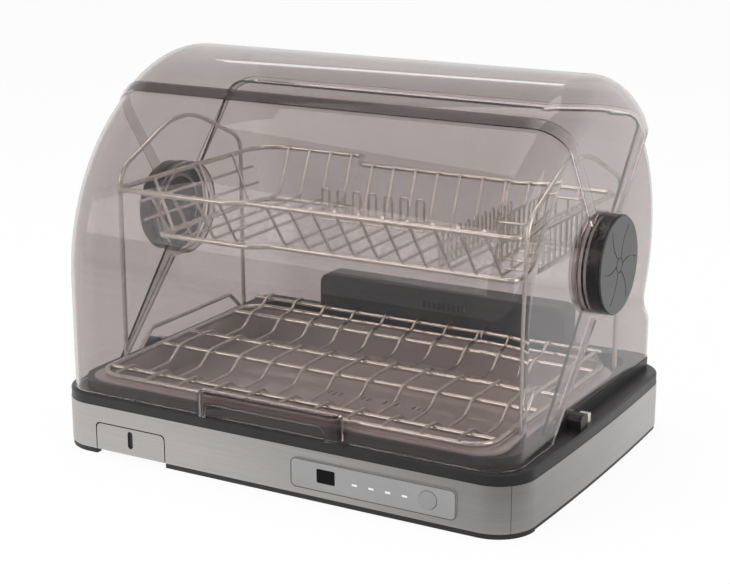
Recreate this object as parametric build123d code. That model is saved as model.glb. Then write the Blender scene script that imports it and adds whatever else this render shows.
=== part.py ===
from build123d import *

import os
from math import atan2, cos, degrees, hypot, radians, sin, sqrt, tan

# Countertop dish dryer: steel-clad base with water drawer and control panel, swinging smoky cover on side
# hubs, fixed rear cover, wire racks and a hot-air blower at the back. Millimetres, X to the right, Y to the
# back, Z up, origin on the table under the middle of the base.

# Base shell
base_width = 480.0
base_depth = 344.0
pattern_depth = 344.0
corner_radius = 36.5
side_bow = 4.7
foot_height = 3.0
foot_radius = 11.0
foot_inset_x = 45.0
foot_inset_y = 37.0
pan_floor = 2.5
skirt_bottom = 0.8
side_skirt_bottom = 2.0
skirt_inset = 0.6
skirt_width = 6.0
pan_wall = 2.2
steel_height = 42.0
steel_thickness = 0.8
steel_play = 0.2
seam_gap = 0.5
seam_setback = 10.7
overrun = 5.0
touch = 0.05

# Rim and its raised ledge
rim_height = 10.5
rim_inset = 0.4
rim_edge_round = 2.5
ledge_height = 9.0
ledge_side_inset = 18.5
ledge_front_inset = 7.5
ledge_back_inset = 3.5
ledge_corner = 34.0
ledge_rear_corner = 15.0
ledge_side_width = 15.5
ledge_front_width = 5.0
ledge_back_width = 18.5
rim_opening_corner = 26.0
deck_depth = 43.8
deck_thickness = 2.0
deck_play = 0.5
post_radius = 5.0
post_inset_x = 27.0
post_inset_y = 22.0

# Drip tray
tray_side_play = 4.8
tray_front_play = 4.3
tray_corner = 24.0
tray_wall = 2.4
tray_floor_height = 38.0
tray_floor = 2.0
tray_lip_height = 4.0
tray_flange_side = 9.3
tray_flange_reach = 5.0
tray_flange = 2.0
tray_slot_width = 2.4
tray_slot_length = 9.0
tray_slot_pitch = 6.0
tray_slot_group_pitch = 30.0
tray_slot_row_pitch = 38.0
tray_slot_groups = 4
tray_slots_in_group = 3
tray_slot_rows = 2
tray_slot_x = -32.0
tray_slot_y = -52.0
tray_drain_radius = 5.0

# Water drawer
drawer_offset = 88.5
drawer_width = 76.0
drawer_top = 31.0
drawer_gap = 1.0
drawer_corner = 5.0
drawer_front_thickness = 2.0
drawer_depth = 145.0
drawer_tray_top = 28.5
drawer_tray_inset = 3.5
drawer_wall = 1.8
drawer_run = 0.3
drawer_slot_width = 5.6
drawer_slot_height = 16.6
drawer_slot_z = 20.1
bay_setback = 14.0
guide_width = 2.0
guide_height = 9.0

# Control panel
panel_offset = 58.0
panel_width = 160.0
panel_bottom = 11.7
panel_top = 38.5
panel_corner = 5.0
panel_thickness = 2.4
panel_stand_out = 1.4
panel_seat = 3.0
display_offset = 26.2
display_width = 18.3
display_bottom = 19.5
display_top = 32.4
display_corner = 1.5
display_recess = 0.3
lens_offset = 63.7
lens_pitch = 16.1
lens_count = 4
lens_z = 24.2
lens_width = 5.2
lens_height = 1.9
button_offset = 25.8
button_z = 25.5
button_radius = 8.0
button_play = 0.35
button_stand_out = 0.8
button_length = 6.0
button_travel = 1.0
button_flange = 1.2
button_flange_width = 1.3
button_stem_radius = 2.0
switch_size = 6.0
switch_height = 3.4
board_thickness = 1.6
board_gap = 9.0
board_margin = 8.0
board_post_radius = 2.5
spring_wall = 0.8

# Hub axis and the swinging cover; lengths of the side view are those at the pattern depth
hub_setback = 17.0
hub_lift = 35.0
cover_side_inset = 11.0
cover_wall = 2.6
cover_seat = 0.4
cover_front_inset = 2.0
front_straight = 100.6
front_arc_angle = 52.0
ridge_place_angle = 124.33
pattern_dome = 163.0
pattern_ridge_blend = 42.0
pattern_edge_round = 30.0
rear_edge_angle = 47.0
arm_foot_reach = 85.0
arm_root_angle = 256.0
flange_depth = 7.0
ridge_width = 12.0
ridge_height = 1.6
lip_half_length = 73.0
lip_reach = 10.0
lip_bottom = 61.5
lip_top = 84.0
lip_end_round = 9.0
lip_edge_round = 4.0
lip_hood = 10.0
lip_end_width = 12.0
lip_mouth_round = 8.0

# Rear cover
rear_side_gap = 8.0
rear_dome_gap = 14.0
rear_wall = 2.6
rear_front_angle = 51.0
rear_overlap = 14.0
neck_angle = -26.0
rear_foot_inset = 4.5
flare_lift = 43.0
pattern_neck_blend = 8.0
pattern_flare_blend = 15.0
pattern_rear_round = 14.0
vent_slots = 12
vent_slot_width = 3.0
vent_slot_height = 16.0
vent_pitch = 7.0
vent_x = -74.0
vent_bottom = 72.0

# Hubs
boss_radius = 46.0
boss_wall = 2.6
boss_depth = 8.5
boss_gap = 0.6
drum_radius = 29.6
drum_run = 0.1
bush_wall = 3.0
ring_radius = 44.5
ring_gap = 0.5
ring_depth = 11.0
ring_socket = 1.8
disc_radius = 43.2
disc_depth = 2.0
groove_count = 6
groove_width = 1.1
groove_depth = 0.6
groove_eye_radius = 6.0
groove_bow_radius = 17.0
pad_radius = 50.0
screw_radius = 2.0
screw_head_radius = 4.0
screw_head = 2.4

# Blower and heater
blower_left = -120.0
blower_right = 150.0
blower_setback = 7.8
blower_depth = 25.5
blower_bottom = 27.0
blower_top = 116.0
blower_wall = 2.2
blower_round = 10.0
blower_edge_round = 1.5
back_plate = 2.0
stand_margin = 30.0
blower_slots = 9
blower_slot_width = 2.6
blower_slot_height = 8.0
blower_slot_pitch = 5.4
blower_slot_x = 0.0
blower_slot_upper_z = 96.0
blower_slot_lower_z = 46.0
fan_x = -70.0
fan_radius = 36.0
fan_depth = 10.0
fan_gap = 1.6
fan_blades = 20
fan_blade_width = 1.4
fan_blade_height = 9.0
fan_plate = 1.6
motor_radius = 19.0
motor_depth = 9.5
shaft_radius = 2.5
shaft_run = 0.1
intake_holes = 12
intake_hole_radius = 3.0
intake_circle_radius = 27.0
heater_left = 45.0
heater_right = 105.0
heater_bottom = 50.0
heater_top = 98.0
heater_fins = 11
heater_fin_width = 1.6
heater_frame_wall = 3.0
thermostat_radius = 7.0
thermostat_depth = 4.0

# Cord gland in the back
gland_inset = 50.0
gland_z = 27.0
gland_radius = 9.0
gland_bore = 4.0
gland_reach = 10.0

# Catches on the rim
catch_reach = 32.0
catch_length = 16.0
catch_inset = 5.0
catch_width = 13.0
catch_height = 12.0
catch_round = 5.0
strike_length = 11.0
strike_height = 8.0
strike_inset = 2.0

# Wires; the rack's places are measured back from its front rail at the pattern depth
rail_wire = 5.0
cross_wire = 3.2
loop_wire = 4.0
basket_wire = 3.0
comb_wire = 2.4
rack_cross_count = 11
rack_side_margin = 25.0
rack_dip = 13.0
rack_bend = 8.0
rack_pattern = 259.0
rack_rail_places = (21.0, 102.0, 148.0, 227.5)
rack_dip_places = (26.0, 42.0, 80.0, 97.0, 152.0, 168.0, 208.0, 222.0)
rack_front_overhang = 2.0
rack_rise_start = 242.0
rack_rise_end = 252.0
rack_tail = 264.0
rack_rise = 9.0
guard_place = 258.5
guard_overhang = 18.0
loop_front_place = 68.0
loop_back_place = 238.0
loop_lean = 18.0
loop_height = 16.0
loop_bend = 6.0
arch_inset = 3.5
arch_wire = 4.5
arch_front_reach = 117.0
arch_back_reach = 85.0
arch_shoulder_rise = 58.0
arch_peak_rise = 103.0
arch_shoulder_bend = 24.0
arch_peak_bend = 90.0

# Upper basket; reaches to the front and back and rises are measured from the hub axis at the pattern depth
basket_rise = 44.0
basket_floor_drop = 4.0
basket_inset = 5.0
basket_front_reach = 121.0
basket_left_front_reach = 129.0
basket_back_reach = 83.0
basket_left_back_reach = 121.0
basket_left_run = 120.0
basket_jog_run = 18.0
basket_corner = 8.0
basket_rear_corner = 30.0
floor_inset = 20.0
floor_front_reach = 81.0
floor_left_front_reach = 93.0
floor_back_reach = 61.0
floor_left_back_reach = 95.0
basket_wire_bend = 8.0
basket_end_rise = 2.0
left_wire_inset = 34.0
left_wire_pitch = 25.0
left_wire_count = 4
right_wire_inset = 16.0
right_wire_margin = 14.0
right_wire_count = 10
side_rail_rises = (28.0, 12.0)
side_rail_front_reach = 105.0
side_rail_back_reach = 87.0
side_tie_reaches = (-75.0, -1.0, 57.0)
comb_reach = 13.0
comb_inset = 2.0
comb_gap = 60.0
comb_pitch = 17.0
comb_pin_width = 8.0
comb_height = 30.0
comb_bend = 2.6
side_comb_wire = 6
cage_width = 38.0
cage_inset = 12.0
cage_front_reach = 69.0
cage_back_reach = 45.0
cage_rise = 43.0
cage_corner = 8.0
cage_pitch = 12.0
cage_floor_wires = 3

# Levels and faces that follow from the sizes
half_width = base_width / 2
half_depth = base_depth / 2
steel_bottom = foot_height + pan_floor
steel_top = steel_bottom + steel_height
rim_top = steel_top + rim_height
ledge_top = rim_top + ledge_height
tray_top = ledge_top + tray_lip_height
cover_bottom = rim_top + cover_seat
front_face = -half_depth
back_face = half_depth
stretch = base_depth / pattern_depth
ledge_half_width = half_width - ledge_side_inset
ledge_front = half_depth - ledge_front_inset
ledge_back = half_depth - ledge_back_inset
rim_opening_half_width = ledge_half_width - ledge_side_width
rim_opening_front = ledge_front - ledge_front_width
rim_opening_back = ledge_back - ledge_back_width
tray_half_width = rim_opening_half_width - tray_side_play
tray_front = rim_opening_front - tray_front_play
tray_back = rim_opening_back - deck_depth
tray_flange_half_width = tray_half_width + tray_flange_side
drawer_x = drawer_offset - half_width
drawer_left = drawer_x - drawer_width / 2
drawer_right = drawer_x + drawer_width / 2
panel_right = half_width - panel_offset
panel_left = panel_right - panel_width
display_left = panel_left + display_offset
display_right = display_left + display_width
lens_x = panel_left + lens_offset
button_x = panel_right - button_offset
cover_half_width = half_width - cover_side_inset
cover_front = half_depth - cover_front_inset
hub_y = hub_setback * stretch
hub_z = cover_bottom + front_straight + hub_lift * stretch
hub = (hub_y, hub_z)
dome_radius = pattern_dome * stretch
ridge_blend = pattern_ridge_blend * stretch
edge_round = pattern_edge_round * stretch
arm_foot_y = -arm_foot_reach * stretch
rear_half_width = cover_half_width - rear_side_gap
rear_radius = dome_radius - rear_dome_gap
rear_foot_y = half_depth - rear_foot_inset
flare_bottom = ledge_top + flare_lift * stretch
neck_blend = pattern_neck_blend * stretch
flare_blend = pattern_flare_blend * stretch
rear_edge_round = pattern_rear_round * stretch
boss_inner_x = rear_half_width - boss_depth
blower_front = tray_back + blower_setback
blower_back = blower_front + blower_depth
gland_x = half_width - gland_inset
catch_y = -catch_reach * stretch
catch_high_x = half_width - catch_inset
catch_low_x = catch_high_x - catch_width
arch_x = tray_flange_half_width - arch_inset
basket_right = arch_x - basket_inset
basket_left = -basket_right
basket_jog_x = basket_left + basket_left_run
jog_end = basket_jog_x + basket_jog_run
floor_left = basket_left + floor_inset
floor_right = basket_right - floor_inset
left_wire_x = basket_left + left_wire_inset
right_wire_x = jog_end + right_wire_inset
right_wire_pitch = (floor_right - right_wire_margin - right_wire_x) / (right_wire_count - 1)
side_comb_x = right_wire_x + side_comb_wire * right_wire_pitch + right_wire_pitch / 2
comb_left = jog_end - comb_inset
cage_right = basket_right - cage_inset
cage_left = cage_right - cage_width


def from_hub(reach):
    """Y at a reach behind the hub axis, stretched with the base's depth."""
    return hub_y + reach * stretch


def above_hub(rise):
    """Z at a rise over the hub axis, stretched with the base's depth."""
    return hub_z + rise * stretch


basket_z = above_hub(basket_rise)
basket_floor_z = above_hub(-basket_floor_drop)
basket_front = from_hub(-basket_front_reach)
basket_left_front = from_hub(-basket_left_front_reach)
basket_back = from_hub(basket_back_reach)
basket_left_back = from_hub(basket_left_back_reach)
floor_front = from_hub(-floor_front_reach)
floor_left_front = from_hub(-floor_left_front_reach)
floor_back = from_hub(floor_back_reach)
floor_left_back = from_hub(floor_left_back_reach)
cage_front = from_hub(-cage_front_reach)
cage_back = from_hub(cage_back_reach)
cage_top = above_hub(cage_rise)


def plan_face(inset):
    """Base outline seen from above, drawn in by inset: straight front and back, bowed sides."""
    side = half_width - inset
    end = side - side_bow
    depth = half_depth - inset
    outline = make_face([
        Line((-end, -depth), (end, -depth)),
        ThreePointArc((end, -depth), (side, 0), (end, depth)),
        Line((end, depth), (-end, depth)),
        ThreePointArc((-end, depth), (-side, 0), (-end, -depth)),
    ])
    return fillet(outline.vertices(), corner_radius - inset)


def slab(face, low, high):
    return Pos(0, 0, low) * extrude(face, high - low)


def round_face(half, front, back, corner):
    return Pos(0, (front + back) / 2) * RectangleRounded(2 * half, back - front, corner)


def block(x_low, x_high, y_low, y_high, z_low, z_high):
    centre = Pos((x_low + x_high) / 2, (y_low + y_high) / 2, (z_low + z_high) / 2)
    return centre * Box(x_high - x_low, y_high - y_low, z_high - z_low)


def upright_plate(x_low, x_high, z_low, z_high, y_low, y_high, corner):
    """Plate standing in the XZ plane with round corners."""
    face = RectangleRounded(x_high - x_low, z_high - z_low, corner)
    plane = Plane(((x_low + x_high) / 2, y_high, (z_low + z_high) / 2), x_dir=(1, 0, 0), z_dir=(0, -1, 0))
    return extrude(plane * face, y_high - y_low)


def rod_x(radius, x_low, x_high, y, z):
    return Pos((x_low + x_high) / 2, y, z) * Rot(0, 90, 0) * Cylinder(radius, x_high - x_low)


def rod_y(radius, y_low, y_high, x, z):
    return Pos(x, (y_low + y_high) / 2, z) * Rot(90, 0, 0) * Cylinder(radius, y_high - y_low)


def rod_z(radius, z_low, z_high, x, y):
    return Pos(x, y, (z_low + z_high) / 2) * Cylinder(radius, z_high - z_low)


def along_x(face, x_low, x_high):
    """Side-view face, drawn in Y and Z, run along X."""
    return Pos(x_low, 0, 0) * extrude(Plane.YZ * face, x_high - x_low)


def wire(points, diameter, bend):
    """Bent wire: straight runs through the points, joined by round bends."""
    path = FilletPolyline(*points, radius=bend) if len(points) > 2 else Line(*points)
    section = Plane(path @ 0, z_dir=path % 0) * Circle(diameter / 2)
    return sweep(section, path=path)


def closed_wire(points, bends, diameter):
    """Closed loop of wire in one level plane, with a bend at each corner."""
    z = points[0][2]
    outline = Polyline(*[(x, y) for x, y, _ in points], close=True)
    flat = make_face(outline)
    for (x, y, _), bend in zip(points, bends):
        corner = flat.vertices().sort_by_distance(Vector(x, y, 0))[0]
        flat = fillet(corner, bend)
    path = Pos(0, 0, z) * flat.face().outer_wire()
    section = Plane(path @ 0, z_dir=path % 0) * Circle(diameter / 2)
    return sweep(section, path=path)


def group(solids):
    return Compound(children=[solid for piece in solids for solid in piece.solids()])


def polar(radius, angle):
    """Point in the side view, at a radius and angle about the hub axis."""
    return (hub_y + radius * cos(radians(angle)), hub_z + radius * sin(radians(angle)))


parts = {}

# Base pan, feet and the steel band
pan_inset = steel_thickness + steel_play
bay_left = drawer_left - drawer_gap
bay_right = drawer_right + drawer_gap
bay_top = drawer_top + drawer_gap
pan = slab(plan_face(skirt_inset), foot_height, steel_bottom)
pan += slab(plan_face(skirt_inset), skirt_bottom, foot_height)
pan -= slab(plan_face(skirt_inset + skirt_width), skirt_bottom - overrun, foot_height)
pan += slab(plan_face(pan_inset), steel_bottom, steel_top - steel_play)
pan -= slab(plan_face(pan_inset + pan_wall), steel_bottom, steel_top + overrun)
side_start = front_face + corner_radius
pan -= block(-base_width, base_width, side_start, base_depth, -overrun, side_skirt_bottom)
pan -= block(bay_left, bay_right, front_face - overrun, front_face + bay_setback, -overrun, bay_top)
cut_left = panel_left + panel_seat
cut_right = panel_right - panel_seat
cut_low = panel_bottom + panel_seat
cut_high = panel_top - panel_seat
pan -= block(cut_left, cut_right, front_face - overrun, front_face + bay_setback, cut_low, cut_high)
guide_low = drawer_left + drawer_tray_inset - drawer_run
guide_high = drawer_right - drawer_tray_inset + drawer_run
guide_back = front_face + drawer_depth
for guide_x in (guide_low - guide_width, guide_high):
    pan += block(guide_x, guide_x + guide_width, front_face + bay_setback, guide_back,
                 steel_bottom, steel_bottom + guide_height)



def corner_spots(inset_x, inset_y):
    """Four places at the same distance from the base's corners."""
    return [(sx * (half_width - inset_x), sy * (half_depth - inset_y)) for sx in (-1, 1) for sy in (-1, 1)]


post_spots = corner_spots(post_inset_x, post_inset_y)
for post_x, post_y in post_spots:
    pan -= rod_z(screw_radius + steel_play, 0, steel_top, post_x, post_y)
gland_inner = back_face - pan_inset - pan_wall - overrun
pan -= rod_y(gland_radius + touch, gland_inner, back_face + overrun, gland_x, gland_z)
parts["base_pan"] = pan

foot_spots = corner_spots(foot_inset_x, foot_inset_y)
parts["foot_pads"] = group([rod_z(foot_radius, 0, foot_height, x, y) for x, y in foot_spots])

band = slab(plan_face(0), steel_bottom, steel_top) - slab(plan_face(steel_thickness), steel_bottom, steel_top)
seam_y = front_face + seam_setback
front_region = block(-base_width, base_width, front_face - overrun, seam_y - seam_gap / 2, -overrun, rim_top)
back_region = block(-base_width, base_width, seam_y + seam_gap / 2, base_depth, -overrun, rim_top)
drawer_mouth = upright_plate(bay_left, bay_right, steel_bottom - drawer_width, bay_top,
                             front_face - overrun, front_face + overrun, drawer_corner)
panel_mouth = block(cut_left, cut_right, front_face - overrun, front_face + overrun, cut_low, cut_high)
parts["steel_front"] = (band & front_region) - drawer_mouth - panel_mouth
gland_hole = rod_y(gland_radius + touch, back_face - overrun, back_face + overrun, gland_x, gland_z)
parts["steel_wrap"] = (band & back_region) - gland_hole

# Black rim with its raised ledge, rear deck and screw posts
opening = round_face(rim_opening_half_width, -rim_opening_front, rim_opening_back, rim_opening_corner)
rim = slab(plan_face(rim_inset), steel_top, rim_top)
rim_edges = rim.faces().sort_by(Axis.Z)[-1].edges()
rim = fillet(rim_edges, rim_edge_round)
ledge = round_face(ledge_half_width, -ledge_front, ledge_back, ledge_corner)
ledge += round_face(ledge_half_width, 0, ledge_back, ledge_rear_corner)
rim += slab(ledge, steel_top, ledge_top)
rim -= slab(opening, steel_top - overrun, ledge_top + overrun)
deck_front = tray_back + deck_play
deck = block(-half_width, half_width, deck_front, rim_opening_back, rim_top - deck_thickness, rim_top)
rim += deck & slab(opening, steel_top, ledge_top)
rim -= block(blower_left - deck_play, blower_right + deck_play, blower_front - deck_play,
             blower_back + back_plate + deck_play, steel_top, ledge_top)
for post_x, post_y in post_spots:
    rim += rod_z(post_radius, steel_bottom, steel_top, post_x, post_y)
    rim -= rod_z(screw_radius + touch, 0, steel_top, post_x, post_y)
parts["rim_frame"] = rim

screws = []
for post_x, post_y in post_spots:
    head_low = foot_height - screw_head
    head = rod_z(screw_head_radius, head_low, foot_height, post_x, post_y)
    screws.append(head + rod_z(screw_radius, head_low, steel_top - post_radius, post_x, post_y))
parts["base_screws"] = group(screws)

# Smoky drip tray with drain slots and a rim flange
tray_plan = round_face(tray_half_width, -tray_front, tray_back, tray_corner)
tray_inside = round_face(tray_half_width - tray_wall, tray_wall - tray_front, tray_back - tray_wall,
                         tray_corner - tray_wall)
tray = slab(tray_plan, tray_floor_height, tray_top)
flange = slab(round_face(tray_flange_half_width, -tray_front - tray_flange_reach, tray_back, tray_corner),
              ledge_top, ledge_top + tray_flange)
tray += flange
tray -= slab(tray_inside, tray_floor_height + tray_floor, tray_top + overrun)
for row in range(tray_slot_rows):
    for cluster in range(tray_slot_groups):
        for number in range(tray_slots_in_group):
            slot_x = tray_slot_x + cluster * tray_slot_group_pitch + number * tray_slot_pitch
            slot_y = tray_slot_y + row * tray_slot_row_pitch
            slot = Pos(slot_x, slot_y) * Rot(0, 0, 90) * SlotOverall(tray_slot_length, tray_slot_width)
            tray -= slab(slot, 0, tray_floor_height + overrun)
tray -= rod_z(tray_drain_radius, 0, tray_floor_height + overrun, drawer_x, front_face + drawer_depth / 2)
parts["drip_tray"] = tray

# Water drawer: steel front and black tray
front_plate = upright_plate(drawer_left, drawer_right, steel_bottom - drawer_width, drawer_top,
                            front_face, front_face + drawer_front_thickness, drawer_corner)
front_plate &= block(drawer_left, drawer_right, front_face, front_face + overrun, steel_bottom, drawer_top)
finger = upright_plate(drawer_x - drawer_slot_width / 2, drawer_x + drawer_slot_width / 2,
                       drawer_slot_z - drawer_slot_height / 2, drawer_slot_z + drawer_slot_height / 2,
                       front_face - overrun, front_face + overrun, drawer_slot_width / 2 - touch)
parts["drawer_front"] = front_plate - finger
tray_low = drawer_left + drawer_tray_inset
tray_high = drawer_right - drawer_tray_inset
catch_front = front_face + drawer_front_thickness
catch_back = front_face + drawer_depth - drawer_run
catch_floor = steel_bottom + drawer_run
catcher = block(tray_low, tray_high, catch_front, catch_back, catch_floor, drawer_tray_top)
catcher -= block(tray_low + drawer_wall, tray_high - drawer_wall, catch_front + drawer_wall,
                 catch_back - drawer_wall, catch_floor + drawer_wall, drawer_tray_top + overrun)
parts["drawer_tray"] = catcher

# Control panel and what sits in it
panel_face = front_face - panel_stand_out
panel_back = panel_face + panel_thickness
panel = upright_plate(panel_left, panel_right, panel_bottom, panel_top, panel_face, front_face, panel_corner)
panel += block(cut_left + touch, cut_right - touch, front_face, panel_back, cut_low + touch, cut_high - touch)
display_hole = upright_plate(display_left, display_right, display_bottom, display_top,
                             panel_face - overrun, panel_back + overrun, display_corner)
panel -= display_hole
lens_spots = [lens_x + number * lens_pitch for number in range(lens_count)]
for spot in lens_spots:
    panel -= block(spot - lens_width / 2, spot + lens_width / 2, panel_face - overrun, panel_back + overrun,
                   lens_z - lens_height / 2, lens_z + lens_height / 2)
panel -= rod_y(button_radius + button_play, panel_face - overrun, panel_back + overrun, button_x, button_z)
board_front = panel_back + board_gap
board_left = panel_left + board_margin
board_right = panel_right - board_margin
board_bottom = panel_bottom + board_margin / 2
board_top = panel_top - board_margin / 2
board_posts = [(x, z) for x in (board_left + board_post_radius * 2, board_right - board_post_radius * 2)
               for z in (board_bottom + board_post_radius * 2, board_top - board_post_radius * 2)]
for post_x, post_z in board_posts:
    panel += rod_y(board_post_radius, panel_back, board_front, post_x, post_z)
parts["control_panel"] = panel

display = upright_plate(display_left + touch, display_right - touch, display_bottom + touch,
                        display_top - touch, panel_face + display_recess, panel_back, display_corner - touch)
parts["display_window"] = display
lenses = [block(spot - lens_width / 2 + touch, spot + lens_width / 2 - touch, panel_face, panel_back,
                lens_z - lens_height / 2 + touch, lens_z + lens_height / 2 - touch) for spot in lens_spots]
parts["indicator_lenses"] = group(lenses)

button_front = panel_face - button_stand_out
button_back = button_front + button_length
button = rod_y(button_radius, button_front, button_back, button_x, button_z)
button = fillet(button.edges().sort_by(Axis.Y)[0], button_stand_out / 2)
flange_front = panel_back + button_play
flange_back = flange_front + button_flange
button += rod_y(button_radius + button_flange_width, flange_front, flange_back, button_x, button_z)
switch_front = board_front - switch_height
stem_end = switch_front - button_travel - button_play
button += rod_y(button_stem_radius, button_back, stem_end, button_x, button_z)
parts["start_button"] = button

board = block(board_left, board_right, board_front, board_front + board_thickness, board_bottom, board_top)
parts["control_board"] = board
switch_half = switch_size / 2
parts["button_switch"] = block(button_x - switch_half, button_x + switch_half, switch_front, board_front,
                               button_z - switch_half, button_z + switch_half)
spring_radius = button_radius - button_flange_width
spring_front = max(button_back, flange_back) + button_travel + button_play
spring = rod_y(spring_radius, spring_front, board_front, button_x, button_z)
spring_bore = spring_radius - spring_wall
spring -= rod_y(spring_bore, spring_front - overrun, board_front + overrun, button_x, button_z)
parts["button_spring"] = spring


def cover_block(inset, low):
    """Solid bounded by the swinging cover's outside, drawn in by inset: flat sides, leaning front, dome."""
    side = cover_half_width - inset
    turn = radians(front_arc_angle)
    ridge_y, ridge_z = polar(dome_radius, ridge_place_angle)
    straight_top = cover_bottom + front_straight
    bend_z = ridge_z - (cover_front + ridge_y) / tan(turn)
    front_arc_radius = (bend_z - straight_top) / tan(turn / 2)
    arc_centre = (front_arc_radius - cover_front, straight_top)
    arc_radius = front_arc_radius - inset
    dome = dome_radius - inset
    face_y = inset - cover_front
    arc_mid = (arc_centre[0] - arc_radius * cos(turn / 2), arc_centre[1] + arc_radius * sin(turn / 2))
    arc_end = (arc_centre[0] - arc_radius * cos(turn), arc_centre[1] + arc_radius * sin(turn))
    rise = (sin(turn), cos(turn))
    reach = (arc_end[0] - hub_y, arc_end[1] - hub_z)
    half_b = reach[0] * rise[0] + reach[1] * rise[1]
    run = -half_b + sqrt(half_b ** 2 - hypot(*reach) ** 2 + dome ** 2)
    ridge = (arc_end[0] + run * rise[0], arc_end[1] + run * rise[1])
    ridge_angle = degrees(atan2(ridge[1] - hub_z, ridge[0] - hub_y))
    dome_mid = (hub_y + dome * cos(radians(ridge_angle / 2)), hub_z + dome * sin(radians(ridge_angle / 2)))
    dome_end = (hub_y + dome, hub_z)
    face = make_face([
        Line((face_y, low), (face_y, arc_centre[1])),
        ThreePointArc((face_y, arc_centre[1]), arc_mid, arc_end),
        Line(arc_end, ridge),
        ThreePointArc(ridge, dome_mid, dome_end),
        Line(dome_end, (dome_end[0], low)),
        Line((dome_end[0], low), (face_y, low)),
    ])
    corner = face.vertices().sort_by_distance(Vector(ridge[0], ridge[1], 0))[0]
    face = fillet(corner, ridge_blend - inset)
    solid = along_x(face, -side, side)
    rim_run = [edge for edge in solid.edges()
               if abs(abs(edge.center().X) - side) < touch and edge.center().Z > low + touch]
    return fillet(rim_run, edge_round - inset), ridge_angle


def strip(start, end, left, right):
    """Side-view strip along a line from start to end, reaching left and right of it."""
    length = hypot(end[0] - start[0], end[1] - start[1])
    ux, uz = (end[0] - start[0]) / length, (end[1] - start[1]) / length
    return make_face(Polyline(
        (start[0] - uz * left, start[1] + ux * left), (end[0] - uz * left, end[1] + ux * left),
        (end[0] + uz * right, end[1] - ux * right), (start[0] + uz * right, start[1] - ux * right),
        close=True))


# Swinging cover: shell between its rear edge and its lower arms, with edge flanges, ridge band and handle lip
far = base_width
outside, ridge_angle = cover_block(0, cover_bottom)
inside, _ = cover_block(cover_wall, cover_bottom - overrun)
flange_inside, _ = cover_block(flange_depth, cover_bottom - overrun)
ridge_outside, _ = cover_block(-ridge_height, cover_bottom)
arm_root = polar(boss_radius, arm_root_angle)
arm_foot = (arm_foot_y, cover_bottom)
arm_low = (arm_root[0] + 2 * (arm_foot[0] - arm_root[0]), arm_root[1] + 2 * (arm_foot[1] - arm_root[1]))
swing_side = make_face(Polyline(hub, polar(far, rear_edge_angle), (hub_y, hub_z + 2 * far),
                                (-2 * far, hub_z + 2 * far), (-2 * far, -far), arm_low, arm_root, close=True))
swing_region = along_x(swing_side, -far, far)
cover = (outside - inside) & swing_region
hub_clear = rod_x(pad_radius, -far, far, hub_y, hub_z)
rear_strip = along_x(strip(hub, polar(far, rear_edge_angle), cover_wall, 0), -far, far)
arm_strip = along_x(strip(arm_root, arm_low, 0, cover_wall), -far, far)
edge_flanges = ((outside - flange_inside) & (rear_strip + arm_strip)) - hub_clear
cover += edge_flanges
ridge_strip = along_x(strip(hub, polar(far, ridge_angle), ridge_width / 2, ridge_width / 2), -far, far)
cover += ((ridge_outside - inside) & ridge_strip) - hub_clear
for side in (-1, 1):
    pad_inner = side * (cover_half_width - cover_wall)
    pad_outer = side * cover_half_width
    cover += rod_x(pad_radius, min(pad_inner, pad_outer), max(pad_inner, pad_outer), hub_y, hub_z)
bush_outer = drum_radius + drum_run + bush_wall
cover -= rod_x(bush_outer + touch, -far, far, hub_y, hub_z)
lip_front = -half_depth - lip_reach
lip = block(-lip_half_length, lip_half_length, lip_front, touch - cover_front, lip_bottom, lip_top)
lip = fillet(lip.edges().filter_by(Axis.Z).sort_by(Axis.Y)[:2], lip_end_round)
lip = fillet(lip.faces().sort_by(Axis.Z)[-1].edges().sort_by(Axis.Y)[:3], lip_edge_round)
scoop = block(cover_wall - lip_half_length, lip_half_length - cover_wall, lip_front + cover_wall,
              -cover_front, lip_bottom - overrun, lip_top - cover_wall)
scoop = fillet(scoop.edges().filter_by(Axis.Z).sort_by(Axis.Y)[:2], lip_end_round - cover_wall)
mouth = upright_plate(lip_end_width - lip_half_length, lip_half_length - lip_end_width,
                      lip_bottom - lip_hood, lip_top - lip_hood,
                      lip_front - overrun, lip_front + cover_wall + touch, lip_mouth_round)
cover += lip - scoop - mouth
parts["front_cover"] = cover


def rear_block(inset, low):
    """Solid bounded by the rear cover's outside, drawn in by inset: dome, neck, flare and back wall."""
    dome = rear_radius - inset
    foot = rear_foot_y - inset
    side = rear_half_width - inset
    neck = (hub_y + dome * cos(radians(neck_angle)), hub_z + dome * sin(radians(neck_angle)))
    middle_angle = radians((neck_angle + 90) / 2)
    dome_mid = (hub_y + dome * cos(middle_angle), hub_z + dome * sin(middle_angle))
    top = (hub_y, hub_z + dome)
    flare = (foot, flare_bottom)
    face = make_face([
        Line((-far, low), (-far, top[1])),
        Line((-far, top[1]), top),
        ThreePointArc(top, dome_mid, neck),
        Line(neck, flare),
        Line(flare, (foot, low)),
        Line((foot, low), (-far, low)),
    ])
    for point, blend in ((neck, neck_blend + inset), (flare, flare_blend - inset)):
        corner = face.vertices().sort_by_distance(Vector(point[0], point[1], 0))[0]
        face = fillet(corner, blend)
    solid = along_x(face, -side, side)
    rim_run = [edge for edge in solid.edges()
               if abs(abs(edge.center().X) - side) < touch and edge.center().Z > low + touch
               and edge.center().Y > touch - far]
    return fillet(rim_run, rear_edge_round - inset)


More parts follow.
